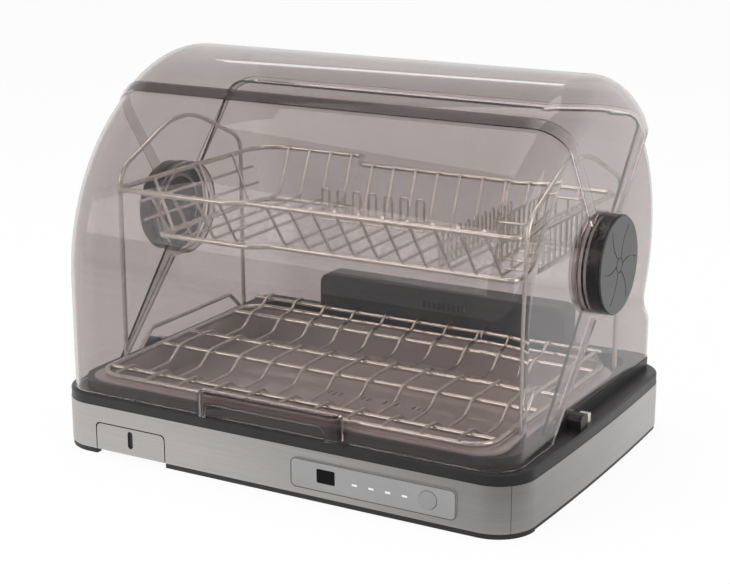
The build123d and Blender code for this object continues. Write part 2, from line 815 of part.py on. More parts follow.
# Rear cover: fixed shell with a round boss on each side for the hub, and vent slots in the back
rear_low = polar(far, degrees(atan2(cover_bottom - hub_z, arm_foot_y - rear_overlap - hub_y)))
rear_side = make_face(Polyline(hub, polar(far, rear_front_angle), (2 * far, 2 * far), (2 * far, -far),
                               rear_low, close=True))
rear = (rear_block(0, ledge_top) - rear_block(rear_wall, ledge_top - overrun)) & along_x(rear_side, -far, far)
boss_outer_x = cover_half_width - cover_wall - boss_gap
for side in (-1, 1):
    ends = sorted((side * boss_inner_x, side * boss_outer_x))
    rear += rod_x(boss_radius, ends[0], ends[1], hub_y, hub_z)
    ends = sorted((side * (boss_inner_x - overrun), side * (boss_outer_x - boss_wall)))
    rear -= rod_x(boss_radius - boss_wall, ends[0], ends[1], hub_y, hub_z)
for number in range(vent_slots):
    slot_x = vent_x + number * vent_pitch
    rear -= upright_plate(slot_x, slot_x + vent_slot_width, vent_bottom, vent_bottom + vent_slot_height,
                          rear_foot_y - overrun, rear_foot_y + overrun, vent_slot_width / 2 - touch)
parts["rear_cover"] = rear

# Hubs: drum on the rear cover's boss, bush in the swinging cover, ring, screw and grooved disc outside
ring_inner_x = cover_half_width + ring_gap
ring_outer_x = ring_inner_x + ring_depth
hub_screws = []
for name, side in (("left", -1), ("right", 1)):
    def span(low, high):
        return sorted((side * low, side * high))
    drum_end = ring_inner_x + ring_socket - touch
    drum = rod_x(drum_radius, *span(boss_outer_x, drum_end), hub_y, hub_z)
    drum -= rod_x(screw_radius + touch, *span(boss_outer_x, drum_end), hub_y, hub_z)
    parts[f"hinge_drum_{name}"] = drum
    bush = rod_x(bush_outer, *span(cover_half_width - cover_wall, cover_half_width), hub_y, hub_z)
    bush -= rod_x(drum_radius + drum_run, *span(boss_outer_x, ring_outer_x), hub_y, hub_z)
    parts[f"hinge_bush_{name}"] = bush
    ring = rod_x(ring_radius, *span(ring_inner_x, ring_outer_x), hub_y, hub_z)
    socket = span(ring_inner_x - overrun, ring_inner_x + ring_socket)
    ring -= rod_x(drum_radius + drum_run, *socket, hub_y, hub_z)
    ring -= rod_x(screw_radius + touch, *span(ring_inner_x, ring_outer_x), hub_y, hub_z)
    head_seat = ring_outer_x - screw_head - touch
    ring -= rod_x(screw_head_radius + touch, *span(head_seat, ring_outer_x + overrun), hub_y, hub_z)
    parts[f"hub_ring_{name}"] = ring
    screw = rod_x(screw_radius, *span(boss_outer_x + touch, ring_outer_x - touch), hub_y, hub_z)
    screw += rod_x(screw_head_radius, *span(head_seat, ring_outer_x - touch), hub_y, hub_z)
    hub_screws.append(screw)
    disc = rod_x(disc_radius, *span(ring_outer_x, ring_outer_x + disc_depth), hub_y, hub_z)
    disc_face = ring_outer_x + disc_depth
    eye = Circle(groove_eye_radius + groove_width) - Circle(groove_eye_radius)
    grooves = [eye]
    for number in range(groove_count):
        turn = Rot(0, 0, number * 360 / groove_count)
        tip = (disc_radius - groove_eye_radius, 0)
        root = (groove_eye_radius + groove_width, 0)
        grooves.append(turn * SlotArc(RadiusArc(root, tip, side * groove_bow_radius * 2), groove_width))
    for groove in grooves:
        cut = extrude(Plane.YZ * groove, side * overrun)
        disc -= Pos(side * (disc_face - groove_depth), hub_y, hub_z) * cut
    parts[f"hub_disc_{name}"] = disc
parts["hub_screws"] = group(hub_screws)

# Blower housing, back plate with intake holes, and stand
housing = upright_plate(blower_left, blower_right, blower_bottom, blower_top, blower_front, blower_back,
                        blower_round)
housing = fillet(housing.faces().sort_by(Axis.Y)[0].edges(), blower_edge_round)
housing -= upright_plate(blower_left + blower_wall, blower_right - blower_wall, blower_bottom + blower_wall,
                         blower_top - blower_wall, blower_front + blower_wall, blower_back + overrun,
                         blower_round - blower_wall)
for number in range(blower_slots):
    slot_x = blower_slot_x + number * blower_slot_pitch
    for slot_z in (blower_slot_upper_z, blower_slot_lower_z):
        housing -= upright_plate(slot_x, slot_x + blower_slot_width, slot_z, slot_z + blower_slot_height,
                                 blower_front - overrun, blower_front + overrun,
                                 blower_slot_width / 2 - touch)
plate_screw_spots = [(x, z) for x in (blower_left + blower_round, blower_right - blower_round)
                     for z in (blower_bottom + blower_round, blower_top - blower_round)]
boss_front = blower_front + blower_wall
for post_x, post_z in plate_screw_spots:
    housing += rod_y(post_radius, boss_front, blower_back, post_x, post_z)
    housing -= rod_y(screw_radius + touch, boss_front, blower_back, post_x, post_z)
parts["blower_housing"] = housing
fan_z = (blower_bottom + blower_top) / 2
plate = upright_plate(blower_left, blower_right, blower_bottom, blower_top, blower_back,
                      blower_back + back_plate, blower_round)
for number in range(intake_holes):
    angle = radians(number * 360 / intake_holes)
    plate -= rod_y(intake_hole_radius, blower_back - overrun, blower_back + back_plate + overrun,
                   fan_x + intake_circle_radius * cos(angle), fan_z + intake_circle_radius * sin(angle))
for post_x, post_z in plate_screw_spots:
    plate -= rod_y(screw_radius + touch, blower_back - overrun, blower_back + overrun, post_x, post_z)
parts["blower_back"] = plate
parts["blower_stand"] = block(blower_left + stand_margin, blower_right - stand_margin,
                              blower_front + blower_wall, blower_back, steel_bottom, blower_bottom)
plate_back = blower_back + back_plate
housing_screws = []
for post_x, post_z in plate_screw_spots:
    screw = rod_y(screw_radius, blower_front + blower_wall, plate_back, post_x, post_z)
    screw += rod_y(screw_head_radius, plate_back, plate_back + screw_head / 2, post_x, post_z)
    housing_screws.append(screw)
parts["housing_screws"] = group(housing_screws)

# Fan motor on the back plate, its shaft and the impeller
motor_front = blower_back - motor_depth
motor = rod_y(motor_radius, motor_front, blower_back, fan_x, fan_z)
motor -= rod_y(shaft_radius + shaft_run, motor_front - overrun, blower_back - blower_wall, fan_x, fan_z)
parts["fan_motor"] = motor
fan_back = motor_front - fan_gap
fan_front = fan_back - fan_depth
hub_plate = rod_y(fan_radius, fan_back - fan_plate, fan_back, fan_x, fan_z)
impeller = hub_plate + rod_y(motor_radius / 2, fan_front, fan_back, fan_x, fan_z)
for number in range(fan_blades):
    blade = block(fan_radius - fan_blade_height, fan_radius, fan_front, fan_back, -fan_blade_width / 2,
                  fan_blade_width / 2)
    impeller += Pos(fan_x, 0, fan_z) * Rot(0, number * 360 / fan_blades, 0) * blade
impeller -= rod_y(shaft_radius + touch, fan_front - overrun, fan_back + overrun, fan_x, fan_z)
parts["fan_impeller"] = impeller
parts["motor_shaft"] = rod_y(shaft_radius, fan_front, blower_back - blower_wall - touch, fan_x, fan_z)

# Heater: finned element in a frame on the back plate, with its thermostat
heater_front = blower_front + blower_wall + heater_frame_wall
frame = block(heater_left - heater_frame_wall, heater_right + heater_frame_wall, heater_front, blower_back,
              heater_bottom - heater_frame_wall, heater_top + heater_frame_wall)
frame -= block(heater_left, heater_right, heater_front - overrun, blower_back + overrun,
               heater_bottom, heater_top)
parts["heater_frame"] = frame
element = block(heater_left + touch, heater_right - touch, heater_front, blower_back - touch,
                heater_bottom + touch, heater_top - touch)
fin_pitch = (heater_right - heater_left) / heater_fins
fin_back = blower_back - heater_frame_wall
for number in range(heater_fins):
    gap_low = heater_left + number * fin_pitch + heater_fin_width
    element -= block(gap_low, gap_low + fin_pitch - heater_fin_width * 2, heater_front - overrun, fin_back,
                     heater_bottom + heater_frame_wall, heater_top - heater_frame_wall)
parts["heater_element"] = element
thermostat_z = heater_top + heater_frame_wall
parts["thermostat"] = rod_z(thermostat_radius, thermostat_z, thermostat_z + thermostat_depth,
                            (heater_left + heater_right) / 2, (heater_front + blower_back) / 2)

# Cord gland through the back of the base
gland = rod_y(gland_radius, gland_inner, back_face + gland_reach, gland_x, gland_z)
gland -= rod_y(gland_bore, gland_inner - overrun, back_face + gland_reach + overrun, gland_x, gland_z)
parts["cord_inlet"] = gland

# Catch blocks and light strike plates on the rim's sides
catches, strikes = [], []
for side in (-1, 1):
    low, high = sorted((side * catch_low_x, side * catch_high_x))
    catch = block(low, high, catch_y - catch_length / 2, catch_y + catch_length / 2,
                  rim_top, rim_top + catch_height)
    catch = fillet(catch.faces().sort_by(Axis.Z)[-1].edges().filter_by(Axis.X), catch_round)
    catches.append(catch)
    low, high = sorted((side * (catch_low_x + strike_inset), side * (catch_high_x - strike_inset)))
    strike_front = catch_y + catch_length / 2
    strike = block(low, high, strike_front, strike_front + strike_length, rim_top, rim_top + strike_height)
    strikes.append(strike)
parts["catch_blocks"] = group(catches)
parts["strike_plates"] = group(strikes)

# Lower rack: rail loop on the tray's edge, long rails between its sides, dipped cross wires on top
rail_x = tray_half_width - tray_wall / 2
rail_front = tray_wall / 2 - tray_front
rail_back = tray_back - tray_wall / 2
rail_z = tray_top + rail_wire / 2
rail_corner = tray_corner - tray_wall / 2
corners = [(-rail_x, rail_front, rail_z), (rail_x, rail_front, rail_z), (rail_x, rail_back, rail_z),
           (-rail_x, rail_back, rail_z)]
rack_stretch = (rail_back - rail_front) / rack_pattern


def rack_y(place):
    """Y of a place measured back from the front rail."""
    return rail_front + place * rack_stretch


parts["lower_rack"] = closed_wire(corners, [rail_corner] * len(corners), rail_wire)
rail_end = rail_x - rail_wire / 2 - touch
rails = [rod_x(rail_wire / 2, -rail_end, rail_end, rack_y(place), rail_z) for place in rack_rail_places]
cross_z = rail_z + rail_wire / 2 + cross_wire / 2 + touch
dip_z = cross_z - rack_dip
levels = (cross_z, dip_z, dip_z, cross_z, cross_z, dip_z, dip_z, cross_z)
tail_z = cross_z + rack_rise
profile = [(rail_front - rack_front_overhang, cross_z)]
profile += [(rack_y(place), level) for place, level in zip(rack_dip_places, levels)]
profile += [(rack_y(rack_rise_start), cross_z), (rack_y(rack_rise_end), tail_z), (rack_y(rack_tail), tail_z)]
profile = [point for index, point in enumerate(profile)
           if index == 0 or index == len(profile) - 1
           or profile[index - 1][1] != point[1] or profile[index + 1][1] != point[1]]
cross_reach = rail_x - rack_side_margin
rack_cross_pitch = 2 * cross_reach / (rack_cross_count - 1)
cross_wires = []
for number in range(rack_cross_count):
    x = number * rack_cross_pitch - cross_reach
    cross_wires.append(wire([(x, y, z) for y, z in profile], cross_wire, rack_bend))
parts["rack_cross_wires"] = group(cross_wires)
guard_z = tail_z - cross_wire / 2 - loop_wire / 2 - touch
guard_end = cross_reach + guard_overhang
rails.append(rod_x(loop_wire / 2, -guard_end, guard_end, rack_y(guard_place), guard_z))
parts["rack_rails"] = group(rails)

foot_tilt = loop_wire / 2 * loop_lean / hypot(loop_lean, loop_height)
loop_z = rail_z + rail_wire / 2 + foot_tilt + touch
loop_front_y = rack_y(loop_front_place)
loop_back_y = rack_y(loop_back_place)
loops = []
for side in (-1, 1):
    x = side * rail_x
    loops.append(wire([(x, loop_front_y, loop_z), (x, loop_front_y + loop_lean, loop_z + loop_height),
                       (x, loop_back_y - loop_lean, loop_z + loop_height), (x, loop_back_y, loop_z)],
                      loop_wire, loop_bend))
parts["rack_loops"] = group(loops)

# Wire arches that stand on the tray's flange and carry the upper basket
arch_foot = ledge_top + tray_flange
arch_front_y = from_hub(-arch_front_reach)
arch_back_y = from_hub(arch_back_reach)
arch_middle = (arch_front_y + arch_back_y) / 2
shoulder_z = above_hub(arch_shoulder_rise)
arch_bends = [bend * stretch for bend in (arch_shoulder_bend, arch_peak_bend, arch_shoulder_bend)]
for name, side in (("left", -1), ("right", 1)):
    x = side * arch_x
    path = FilletPolyline((x, arch_front_y, arch_foot), (x, arch_front_y, shoulder_z),
                          (x, arch_middle, above_hub(arch_peak_rise)), (x, arch_back_y, shoulder_z),
                          (x, arch_back_y, arch_foot), radius=arch_bends)
    parts[f"arch_{name}"] = sweep(Plane(path @ 0, z_dir=path % 0) * Circle(arch_wire / 2), path=path)

# Upper basket: top and floor loops with a jog, U wires between them, side rails and plate combs


def jogged_loop(left, right, front, left_front, back, left_back, z):
    return [(left, left_front, z), (basket_jog_x, left_front, z), (jog_end, front, z), (right, front, z),
            (right, back, z), (jog_end, back, z), (basket_jog_x, left_back, z), (left, left_back, z)]


loop_bends = [basket_corner] * 7 + [basket_rear_corner]
top_points = jogged_loop(basket_left, basket_right, basket_front, basket_left_front,
                         basket_back, basket_left_back, basket_z)
floor_points = jogged_loop(floor_left, floor_right, floor_front, floor_left_front,
                           floor_back, floor_left_back, basket_floor_z)
basket_loops = [closed_wire(points, loop_bends, rail_wire) for points in (top_points, floor_points)]
parts["upper_basket"] = group(basket_loops)
seat = rail_wire / 2 + basket_wire / 2 + touch
floor_wire_z = basket_floor_z + seat + touch
wire_top = basket_z + basket_end_rise
left_span = (basket_left_front, floor_left_front, floor_left_back, basket_left_back)
right_span = (basket_front, floor_front, floor_back, basket_back)
u_wires = [(left_wire_x + n * left_wire_pitch, *left_span) for n in range(left_wire_count)]
u_wires += [(right_wire_x + n * right_wire_pitch, *right_span) for n in range(right_wire_count)]
basket_wires = []
for x, top_front, low_front, low_back, top_back in u_wires:
    basket_wires.append(wire([(x, top_front + seat, wire_top), (x, low_front - basket_end_rise, floor_wire_z),
                              (x, low_back + basket_end_rise, floor_wire_z), (x, top_back - seat, wire_top)],
                             basket_wire, basket_wire_bend))
parts["basket_wires"] = group(basket_wires)
side_run = floor_left - basket_left
side_rise = basket_z - basket_floor_z
side_slope = hypot(side_run, side_rise) / side_rise


def side_line(z, offset):
    """X of the basket's leaning left side at a height, moved in by an offset square to it."""
    return floor_left - side_run * (z - basket_floor_z) / side_rise + offset * side_slope


side_wires = []
for rise in side_rail_rises:
    rail_height = above_hub(rise)
    side_x = side_line(rail_height, seat - basket_wire - touch)
    side_wires.append(rod_y(basket_wire / 2, from_hub(-side_rail_front_reach), from_hub(side_rail_back_reach),
                            side_x, rail_height))
tie_low = basket_floor_z - basket_end_rise
for reach in side_tie_reaches:
    tie_y = from_hub(reach)
    tie_ends = [(side_line(z, seat), tie_y, z) for z in (wire_top, tie_low)]
    side_wires.append(wire(tie_ends, basket_wire, 0))
parts["basket_side_wires"] = group(side_wires)


def comb(place, count):
    """Row of hairpin wires on a base rail; place turns a distance along the row and a height into a point."""
    base = comb_wire / 2 + touch
    length = (count - 1) * comb_pitch + comb_pin_width
    pieces = [wire([place(0, 0), place(length, 0)], comb_wire, 0)]
    for number in range(count):
        start = number * comb_pitch
        end = start + comb_pin_width
        pin = [place(start, base), place(start, comb_height), place(end, comb_height), place(end, base)]
        pieces.append(wire(pin, comb_wire, comb_bend))
    return pieces


comb_y = from_hub(comb_reach)
comb_z = floor_wire_z + basket_wire / 2 + comb_wire / 2 + touch
comb_pins = int((side_comb_x - comb_gap - comb_left - comb_pin_width) / comb_pitch) + 1
combs = comb(lambda along, up: (comb_left + along, comb_y, comb_z + up), comb_pins)
side_comb_z = basket_floor_z + rail_wire / 2 + comb_wire / 2 + touch
side_pins = int((floor_back - floor_front) / comb_pitch) + 1
combs += comb(lambda along, up: (side_comb_x, floor_front + along - touch, side_comb_z + up), side_pins)
parts["plate_combs"] = group(combs)

# Cutlery cage standing on the basket's floor wires
cage_low = floor_wire_z + basket_wire / 2 + comb_wire / 2 + touch
cage_corners = [(cage_left, cage_front), (cage_right, cage_front), (cage_right, cage_back),
                (cage_left, cage_back)]
cage_bends = [cage_corner] * len(cage_corners)
cage = []
for ring_z in (cage_low, cage_top):
    cage.append(closed_wire([(x, y, ring_z) for x, y in cage_corners], cage_bends, comb_wire))
stave_low = cage_low + comb_wire / 2 + touch
stave_high = cage_top - comb_wire / 2 - touch
stave_ys = [cage_front + cage_corner + n * cage_pitch
            for n in range(int((cage_back - cage_front - 2 * cage_corner) / cage_pitch) + 1)]
stave_xs = [cage_left + cage_corner + n * cage_pitch
            for n in range(int((cage_right - cage_left - 2 * cage_corner) / cage_pitch) + 1)]
stave_spots = [(x, y) for x in (cage_left, cage_right) for y in stave_ys]
stave_spots += [(x, y) for x in stave_xs for y in (cage_front, cage_back)]
parts["cage_staves"] = group([rod_z(comb_wire / 2, stave_low, stave_high, x, y) for x, y in stave_spots])
floor_end = comb_wire / 2 + touch
for number in range(cage_floor_wires):
    y = cage_front + (number + 1) * (cage_back - cage_front) / (cage_floor_wires + 1)
    cage.append(rod_x(comb_wire / 2, cage_left + floor_end, cage_right - floor_end, y, cage_low))
parts["cutlery_cage"] = group(cage)

os.makedirs("parts", exist_ok=True)
for name, shape in parts.items():
    export_step(shape, f"parts/{name}.step")
print(len(parts), "nodes written")
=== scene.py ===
from math import acos, atan2, cos, degrees, hypot, pi, radians, sin, sqrt

import bmesh
import bpy
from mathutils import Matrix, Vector


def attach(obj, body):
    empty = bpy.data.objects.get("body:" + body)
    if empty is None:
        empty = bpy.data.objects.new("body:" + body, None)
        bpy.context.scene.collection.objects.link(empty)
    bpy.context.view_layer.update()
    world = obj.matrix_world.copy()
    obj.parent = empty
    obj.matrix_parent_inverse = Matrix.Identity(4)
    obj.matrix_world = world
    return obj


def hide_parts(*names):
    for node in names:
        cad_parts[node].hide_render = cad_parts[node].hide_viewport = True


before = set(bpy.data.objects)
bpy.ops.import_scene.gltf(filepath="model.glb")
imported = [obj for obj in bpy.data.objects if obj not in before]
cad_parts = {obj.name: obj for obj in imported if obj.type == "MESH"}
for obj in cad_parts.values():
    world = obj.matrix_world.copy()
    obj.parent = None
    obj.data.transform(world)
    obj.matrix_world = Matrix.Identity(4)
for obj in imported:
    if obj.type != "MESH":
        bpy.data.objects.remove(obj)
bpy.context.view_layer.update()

# Base pan, rubber feet and the screws under it. The pan is one black polypropylene moulding with a fine
# spark-eroded skin; the feet are rubber discs pressed on, and the screws are zinc plated.
noise_range = (0.3, 0.7)


def new_finish(name):
    """Empty node material; returns it with its node tree and its main shader."""
    finish = bpy.data.materials.new(name)
    finish.use_nodes = True
    return finish, finish.node_tree, finish.node_tree.nodes["Principled BSDF"]


def preset(node, values):
    """Node with values set on its inputs."""
    for name, value in values.items():
        node.inputs[name].default_value = value
    return node


def grain(tree, scales, detail, name):
    """Noise on the piece's own coordinates, stretched by a scale along each axis."""
    where = tree.nodes.new("ShaderNodeTexCoord")
    stretch = preset(tree.nodes.new("ShaderNodeMapping"), {"Scale": scales})
    noise = preset(tree.nodes.new("ShaderNodeTexNoise"), {"Scale": 1.0, "Detail": detail})
    noise.name = name
    tree.links.new(where.outputs["Object"], stretch.inputs["Vector"])
    tree.links.new(stretch.outputs["Vector"], noise.inputs["Vector"])
    return noise.outputs["Fac"]


def ranged(tree, value, source, target):
    """Value mapped from a source range to a target range and held at its ends."""
    ends = {"From Min": source[0], "From Max": source[1], "To Min": target[0], "To Max": target[1]}
    ramp = preset(tree.nodes.new("ShaderNodeMapRange"), ends)
    tree.links.new(value, ramp.inputs["Value"])
    return ramp.outputs["Result"]


def tone(tree, value, dark, light):
    """Noise value mapped to a colour between two tones."""
    ramp = tree.nodes.new("ShaderNodeValToRGB")
    for stop, place, colour in zip(ramp.color_ramp.elements, noise_range, (dark, light)):
        stop.position = place
        stop.color = (*colour, 1)
    tree.links.new(value, ramp.inputs["Fac"])
    return ramp.outputs["Color"]


def relief(tree, shader, value, strength, depth):
    """Surface relief of a height in metres."""
    bump = preset(tree.nodes.new("ShaderNodeBump"), {"Strength": strength, "Distance": depth})
    tree.links.new(value, bump.inputs["Height"])
    tree.links.new(bump.outputs["Normal"], shader.inputs["Normal"])


def moulded_plastic(name, dark, light, rough, pits):
    """Moulded plastic with an eroded skin: slightly uneven tone and gloss, and pits of a (scale, depth)."""
    finish, tree, shader = new_finish(name)
    pit_scale, pit_depth = pits
    cloud = grain(tree, (30, 30, 30), 3, "cloud")
    skin = grain(tree, (pit_scale, pit_scale, pit_scale), 2, "pits")
    tree.links.new(tone(tree, cloud, dark, light), shader.inputs["Base Color"])
    tree.links.new(ranged(tree, cloud, noise_range, rough), shader.inputs["Roughness"])
    relief(tree, shader, skin, strength=0.35, depth=pit_depth)
    return finish


def dress(finish, *nodes):
    """A finish on CAD nodes that keep their own shape."""
    for node in nodes:
        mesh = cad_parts[node].data
        mesh.materials.clear()
        mesh.materials.append(finish)


def placed(name, data):
    """New object in the scene, at the origin and unturned."""
    item = bpy.data.objects.new(name, data)
    bpy.context.collection.objects.link(item)
    return item


def plain_mesh(name, verts, faces):
    """Mesh from its points and faces."""
    mesh = bpy.data.meshes.new(name)
    mesh.from_pydata(verts, [], faces)
    return mesh


def worked_out(holder):
    """Mesh of an object with its modifiers worked in; the object itself goes."""
    shape = bpy.data.meshes.new_from_object(holder.evaluated_get(bpy.context.evaluated_depsgraph_get()))
    bpy.data.objects.remove(holder)
    return shape


def modified(mesh, kind, **settings):
    """Mesh with one modifier worked in."""
    holder = placed(mesh.name + "_blank", mesh)
    step = holder.modifiers.new(kind.lower(), kind)
    for key, value in settings.items():
        setattr(step, key, value)
    shape = worked_out(holder)
    shape.name = mesh.name
    return shape


def shaded(mesh, crease_degrees):
    """Round faces shaded smooth, creases kept, and normals that follow the larger faces."""
    mesh.shade_smooth()
    mesh.set_sharp_from_angle(angle=radians(crease_degrees))
    return modified(mesh, "WEIGHTED_NORMAL", keep_sharp=True)


def merged_mesh(node, name):
    """Copy of a node's mesh with its loose triangles merged."""
    work = bmesh.new()
    work.from_mesh(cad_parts[node].data)
    bmesh.ops.remove_doubles(work, verts=work.verts, dist=2e-6)
    work.verts.index_update()
    points = [vertex.co[:] for vertex in work.verts]
    faces = [[vertex.index for vertex in face.verts] for face in work.faces]
    work.free()
    return plain_mesh(name, points, faces)


def add_piece(name, mesh, finish, body, nodes=()):
    """A finished mesh as a piece that rides on a body and stands for CAD nodes."""
    piece = placed(name, mesh)
    mesh.materials.clear()
    mesh.materials.append(finish)
    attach(piece, body)
    if nodes:
        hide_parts(*nodes)


def smooth_piece(node, finish, body, crease_degrees):
    """A CAD node's own shape, merged and shaded smooth up to its creases."""
    mesh = shaded(merged_mesh(node, node + "_skin"), crease_degrees)
    add_piece(node + "_skin", mesh, finish, body, [node])


pan_black = moulded_plastic(
    "pan_black", (0.018, 0.018, 0.020), (0.028, 0.028, 0.030), rough=(0.42, 0.55), pits=(1400, 0.00005))
foot_rubber = moulded_plastic(
    "foot_rubber", (0.012, 0.012, 0.012), (0.020, 0.020, 0.020), rough=(0.75, 0.9), pits=(900, 0.00008))
smooth_piece("base_pan", pan_black, "base", crease_degrees=32)
dress(foot_rubber, "foot_pads", "cord_inlet")


def plated_metal(name, dark, light, rough):
    """Plated or drawn metal with faint cloudy wear."""
    finish, tree, shader = new_finish(name)
    preset(shader, {"Metallic": 1.0})
    cloud = grain(tree, (220, 220, 220), 4, "cloud")
    tree.links.new(tone(tree, cloud, dark, light), shader.inputs["Base Color"])
    tree.links.new(ranged(tree, cloud, noise_range, rough), shader.inputs["Roughness"])
    return finish


zinc_plate = plated_metal("zinc_plate", (0.52, 0.52, 0.50), (0.64, 0.64, 0.62), rough=(0.28, 0.42))
dress(zinc_plate, "base_screws", "hub_screws", "housing_screws", "fan_motor", "motor_shaft", "thermostat",
      "button_spring")

# Steel band in two pieces: a front sheet that wraps both front corners and a sheet round the sides and back.
# Both are 0.8 mm stainless, brushed along their length, and the drawer's front is cut from the same sheet.
sheet_crease = 24


def brushed_sheet(name, dark, light):
    """Stainless sheet with level brush lines, a little cloudy, and shallow scratches."""
    finish, tree, shader = new_finish(name)
    preset(shader, {"Metallic": 1.0})
    lines = grain(tree, (7, 7, 1500), 4, "lines")
    fine = grain(tree, (22, 22, 5200), 3, "fine_lines")
    cloud = grain(tree, (9, 9, 14), 2, "cloud")
    mix = preset(tree.nodes.new("ShaderNodeMix"), {"Factor": 0.45})
    tree.links.new(lines, mix.inputs["A"])
    tree.links.new(fine, mix.inputs["B"])
    tree.links.new(tone(tree, mix.outputs["Result"], dark, light), shader.inputs["Base Color"])
    tree.links.new(ranged(tree, cloud, noise_range, (0.30, 0.38)), shader.inputs["Roughness"])
    relief(tree, shader, mix.outputs["Result"], strength=0.10, depth=0.00003)
    return finish


steel_sheet = brushed_sheet("steel_sheet", (0.48, 0.463, 0.45), (0.60, 0.583, 0.567))
smooth_piece("steel_front", steel_sheet, "base", sheet_crease)
smooth_piece("steel_wrap", steel_sheet, "base", sheet_crease)

# Black rim with its raised ledge: one ABS moulding that closes the base, carries the tray and the rear cover,
# and shows a satin skin with a soft round edge. The catch blocks beside the cover's arms are clipped on it.
rim_crease = 36
rim_black = moulded_plastic(
    "rim_black", (0.014, 0.014, 0.015), (0.022, 0.022, 0.023), rough=(0.30, 0.40), pits=(1200, 0.00001))
smooth_piece("rim_frame", rim_black, "base", rim_crease)
smooth_piece("catch_blocks", rim_black, "base", rim_crease)
strike_ivory = moulded_plastic(
    "strike_ivory", (0.62, 0.60, 0.55), (0.72, 0.70, 0.65), rough=(0.4, 0.5), pits=(900, 0.00004))
dress(strike_ivory, "strike_plates", "hinge_bush_left", "hinge_bush_right", "heater_frame")
dress(pan_black, "hinge_drum_left", "hinge_drum_right", "blower_stand", "button_switch")

# Drip tray: smoky brown styrene, half clear and glossy, with thin walls and short drain slots in its flat
# floor. It hangs by its flange on the rim's ledge, under the lower rack.


def mixed_surface(tree, factor, first, second):
    """Two shaders mixed by a factor, as the material's surface."""
    choice = tree.nodes.new("ShaderNodeMixShader")
    tree.links.new(factor, choice.inputs["Fac"])
    tree.links.new(first, choice.inputs[1])
    tree.links.new(second, choice.inputs[2])
    tree.links.new(choice.outputs["Shader"], tree.nodes["Material Output"].inputs["Surface"])


def smoky_clear(name, tint, rough, clear):
    """Clear plastic tinted through its wall; lamps reach what is behind it with the same tint."""
    finish, tree, shader = new_finish(name)
    preset(shader, {"Base Color": (*tint, 1), "Transmission Weight": clear, "IOR": 1.45})
    haze = grain(tree, (14, 14, 14), 2, "haze")
    tree.links.new(ranged(tree, haze, noise_range, (rough * 0.6, rough * 1.4)), shader.inputs["Roughness"])
    film_tint = (*[clear * sqrt(part) for part in tint], 1)
    film = preset(tree.nodes.new("ShaderNodeBsdfTransparent"), {"Color": film_tint})
    path = tree.nodes.new("ShaderNodeLightPath")
    mixed_surface(tree, path.outputs["Is Shadow Ray"], shader.outputs["BSDF"], film.outputs["BSDF"])
    return finish


tray_smoke = smoky_clear("tray_smoke", (0.60, 0.545, 0.525), rough=0.05, clear=0.35)
smooth_piece("drip_tray", tray_smoke, "base", crease_degrees=30)

# Water drawer: a steel front with an oval slot for a finger, cut from the band's sheet. It is fixed to a
# black tray that catches the drips.
smooth_piece("drawer_front", steel_sheet, "drawer", sheet_crease)
dress(pan_black, "drawer_tray")

# Control panel: a silver-painted plate with round corners and a thin dark frame line, a black display window,
# four white indicator bars and a round push button; the board, switch and spring are behind it.
panel_crease = 30
panel_x, panel_z, panel_corner = (0.022, 0.182), (0.0117, 0.0385), 0.005
edge_width, edge_front, edge_back = 0.0009, -0.17355, -0.17345
panel_silver = moulded_plastic(
    "panel_silver", (0.31, 0.31, 0.31), (0.34, 0.34, 0.34), rough=(0.30, 0.38), pits=(2600, 0.00002))
display_black = moulded_plastic(
    "display_black", (0.004, 0.004, 0.005), (0.006, 0.006, 0.007), rough=(0.05, 0.09), pits=(300, 0.000005))
preset(display_black.node_tree.nodes["Principled BSDF"], {"Specular IOR Level": 0.12})
lens_white = moulded_plastic(
    "lens_white", (0.88, 0.88, 0.88), (0.95, 0.95, 0.95), rough=(0.25, 0.35), pits=(500, 0.00001))
button_silver = moulded_plastic(
    "button_silver", (0.29, 0.29, 0.29), (0.32, 0.32, 0.32), rough=(0.25, 0.32), pits=(2600, 0.00002))
board_green = moulded_plastic(
    "board_green", (0.01, 0.09, 0.03), (0.02, 0.14, 0.05), rough=(0.3, 0.45), pits=(700, 0.00003))
edge_grey = moulded_plastic(
    "edge_grey", (0.10, 0.10, 0.10), (0.13, 0.13, 0.13), rough=(0.30, 0.38), pits=(2600, 0.00001))


def round_outline(low_x, high_x, low_z, high_z, corner, steps=8):
    """Front-view outline of a plate with round corners."""
    centres = ((high_x - corner, high_z - corner), (low_x + corner, high_z - corner),
               (low_x + corner, low_z + corner), (high_x - corner, low_z + corner))
    line = []
    for number, (x, z) in enumerate(centres):
        for step in range(steps + 1):
            turn = pi / 2 * (number + step / steps)
            line.append((x + corner * cos(turn), z + corner * sin(turn)))
    return line


def outward(mesh):
    """Mesh with its normals turned to the outside."""
    work = bmesh.new()
    work.from_mesh(mesh)
    bmesh.ops.recalc_face_normals(work, faces=work.faces)
    work.to_mesh(mesh)
    work.free()
    return mesh


def panel_edge(name):
    """Thin frame line round the panel's face."""
    verts, faces = [], []
    for inset, y in ((0, edge_front), (0, edge_back), (edge_width, edge_back), (edge_width, edge_front)):
        line = round_outline(panel_x[0] + inset, panel_x[1] - inset, panel_z[0] + inset, panel_z[1] - inset,
                             panel_corner - inset)
        verts += [(x, y, z) for x, z in line]
    size = len(verts) // 4
    for ring in range(4):
        first, second = ring * size, (ring + 1) % 4 * size
        for k in range(size):
            after = (k + 1) % size
            faces.append((first + k, first + after, second + after, second + k))
    return outward(plain_mesh(name, verts, faces))


smooth_piece("control_panel", panel_silver, "base", panel_crease)
add_piece("panel_edge", panel_edge("panel_edge"), edge_grey, "base")
smooth_piece("start_button", button_silver, "button", panel_crease)
dress(display_black, "display_window")
dress(lens_white, "indicator_lenses")
dress(board_green, "control_board")

